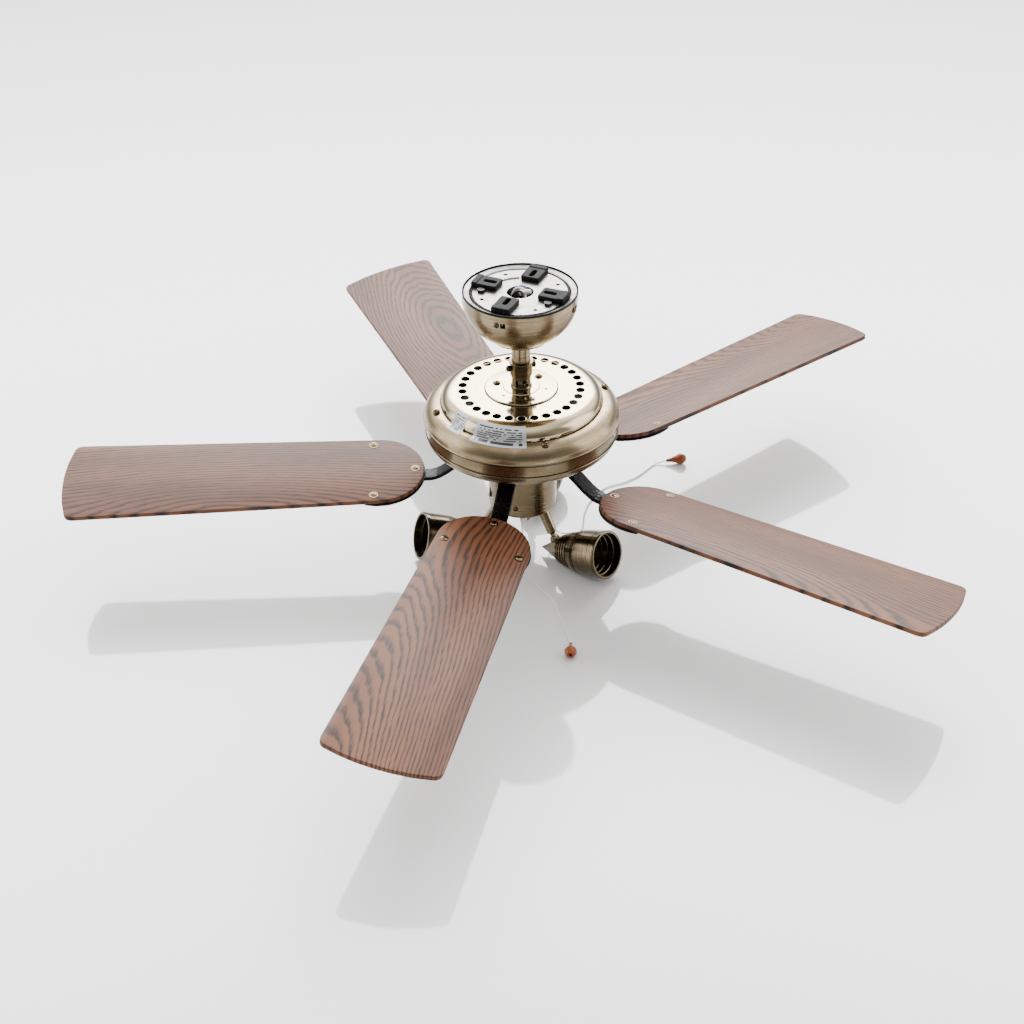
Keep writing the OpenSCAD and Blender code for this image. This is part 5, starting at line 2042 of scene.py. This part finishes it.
@dataclass
class PullChain:
    """A bead chain from its switch down to the table, with a wooden pull at its end."""

    palette: Palette
    beads: Recipe
    name: str
    route: list[tuple[float, float, float]]
    pull_turn: float
    bead_r: float = 1.2
    pitch: float = 3.0
    pull_r: float = 7.0
    pull_len: float = 26.0
    body: str = "fan_frame"

    def line(self) -> list[Vector]:
        """The chain's smooth line in mm."""
        return smooth_line([Vector(p) for p in self.route], 2.0)

    def connector(self) -> None:
        """Bell end of the switch's own chain."""
        start = self.route[0]
        draft = Draft()
        draft.revolve(softened([
            (0, level(76)), (2.5, level(76)), (2.5, level(59.5)), (2.2, level(57.6)), (1.6, level(57)), (
                1.5, level(60)
            ),
            (1.5, level(70)), (0, level(70)),
        ], 0.4), 24, moved(start[0], start[1], 0))
        piece = dress(draft.finish(f"{self.name}_bell"), self.palette["nickel_bead_chain"])
        hand_over(piece, f"{self.name}_switch_pull", "nickel_bead_chain", f"{self.name}_connector")

    def pull(self) -> bpy.types.Object:
        """Turned wooden drop with a drilled end."""
        long, wide = self.pull_len, self.pull_r
        tilt = math.asin((wide - self.bead_r - 3) / (long - wide))
        place = (
            moved(*self.route[-1]) @ turned(self.pull_turn)
            @ Matrix.Rotation(math.pi / 2 - tilt, 4, "Y")
        )
        drop: Profile = [(0.0, 0.0), (1.5, 0.0), (1.9, 0.5)]
        for k in range(1, 13):
            share = k / 12
            drop.append((1.9 + (wide - 1.95) * (1 - math.cos(math.pi / 2 * share)), 0.66 * long * share))
        drop += arc((0, 0.66 * long), (wide - 0.05, 0.34 * long), 8, 74, 9)
        drop += [(1.7, long - 0.5), (1.35, long - 1.2), (1.3, long - 4.0), (0, long - 4.4)]
        draft = Draft()
        draft.revolve(drop, 48, place)
        piece = dress(draft.finish(f"{self.name}_wooden_drop"), self.palette["varnished_wood"])
        return hand_over(piece, self.body, "varnished_wood", f"{self.name}_pull")

    def chain(self, pull: bpy.types.Object) -> None:
        """The beads along the chain's line; their length is worked out but not used.

        Args:
            pull: the wooden pull at the chain's end; not used.
        """
        line = self.line()
        mesh = bpy.data.meshes.new(f"{self.name}_route")
        mesh.from_pydata([p * MM for p in line], [(k, k + 1) for k in range(len(line) - 1)], [])
        carrier = bpy.data.objects.new(f"{self.name}_route", mesh)
        bpy.context.scene.collection.objects.link(carrier)
        piece = self.beads.run(
            carrier, f"{self.name}_bead_chain", self.palette["nickel_bead_chain"],
            Pitch=self.pitch * MM, Bead_radius=self.bead_r * MM, Pin_radius=0.4 * MM,
        )
        hand_over(piece, self.body, "nickel_bead_chain", f"{self.name}_chain")
        length = sum((b - a).length for a, b in zip(line, line[1:])) * MM

    def build(self) -> None:
        """Build the bell, the wooden pull and the chain."""
        self.connector()
        self.chain(self.pull())


LIE = level(0) + 1.2
FAN_ROUTE = [
    (12, -30, level(62)), (12, -30, level(42)), (13, -31, level(26)), (14, -34, level(11)), (
        17, -41, level(3)
    ),
    (21, -51, LIE), (25, -61, LIE), (37, -70, LIE), (50, -77, LIE), (61, -84, LIE), (72, -91, LIE),
    (81, -98, LIE), (87, -105, LIE), (92, -113, LIE), (101, -124, LIE), (110, -136, LIE), (117, -145, LIE),
    (123, -153, LIE), (127, -159, LIE + 1), (130, -165, LIE + 3.2),
]
LIGHT_ROUTE = [
    (24, 21, level(62)), (24, 21, level(42)), (25, 22, level(26)), (28, 25, level(11)), (35, 29, level(3)),
    (46, 34, LIE), (55, 40, LIE), (57, 49, LIE), (52, 64, LIE), (47, 80, LIE), (45, 93, LIE), (44, 106, LIE),
    (45, 119, LIE), (47, 132, LIE), (51, 144, LIE), (59, 154, LIE), (66, 161, LIE), (71, 169, LIE),
    (77, 180, LIE), (81, 192, LIE), (84, 204, LIE), (87, 215, LIE), (93, 222, LIE + 1), (100, 226, LIE + 3.2),
]

INNER_FINISHES = {
    "zinc_plated_steel": ("ceiling_bracket", "adapter_plate"),
    "blackened_steel": ("cradle", "cradle_bolts"),
    "white_nylon": ("terminal_block",),
    "moulded_ball": ("hanger_ball",),
    "bright_steel": ("hanger_pin", "motor_shaft", "bearings"),
    "laminated_steel": ("stator_core",),
    "copper_winding": ("stator_windings",),
    "cast_rotor": ("rotor_bell", "flywheel"),
    "black_moulding": ("capacitor", "pull_switches", "reverse_switch", "reverse_knob"),
    # Lampholders darkened as painted shade.
    "dark_ceramic": ("lampholder_1", "lampholder_2", "lampholder_3"),
}


def dress_inner_nodes(palette: Palette) -> None:
    """Give the CAD pieces that stay in sight their materials.

    Args:
        palette: the finishes.
    """
    for finish, nodes in INNER_FINISHES.items():
        for node in nodes:
            dress(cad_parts[node], palette[finish])
            LOG.info("%s keeps its CAD shape, in %s", node, finish)


def main() -> None:
    """Build the scene, piece by piece."""
    logging.basicConfig(level=logging.INFO, format="%(message)s")
    studio = Studio()
    studio.place_camera()
    palette = Palette()
    screws, holes, rims, beads = screw_recipe(), perforation_recipe(), rim_recipe(), bead_recipe()
    PullChain(palette, beads, "fan", FAN_ROUTE, -68.0).build()
    PullChain(palette, beads, "light", LIGHT_ROUTE, 24.0).build()
    studio.hang_lights()
    studio.lay_floor()
    CeilingMount(palette, screws, holes).build()
    Hanger(palette).build()
    MotorHousing(palette, screws, holes, rims).build()
    Rotor(palette, screws).build()
    SwitchHousing(palette, holes).build([Vector(FAN_ROUTE[0]), Vector(LIGHT_ROUTE[0])])
    for number, (azimuth, turn) in enumerate(((-18, 5), (102, -3), (-138, -2)), 1):
        SpotLight(palette, number, azimuth, turn).build()
    dress_inner_nodes(palette)


if __name__ == "__main__":
    main()
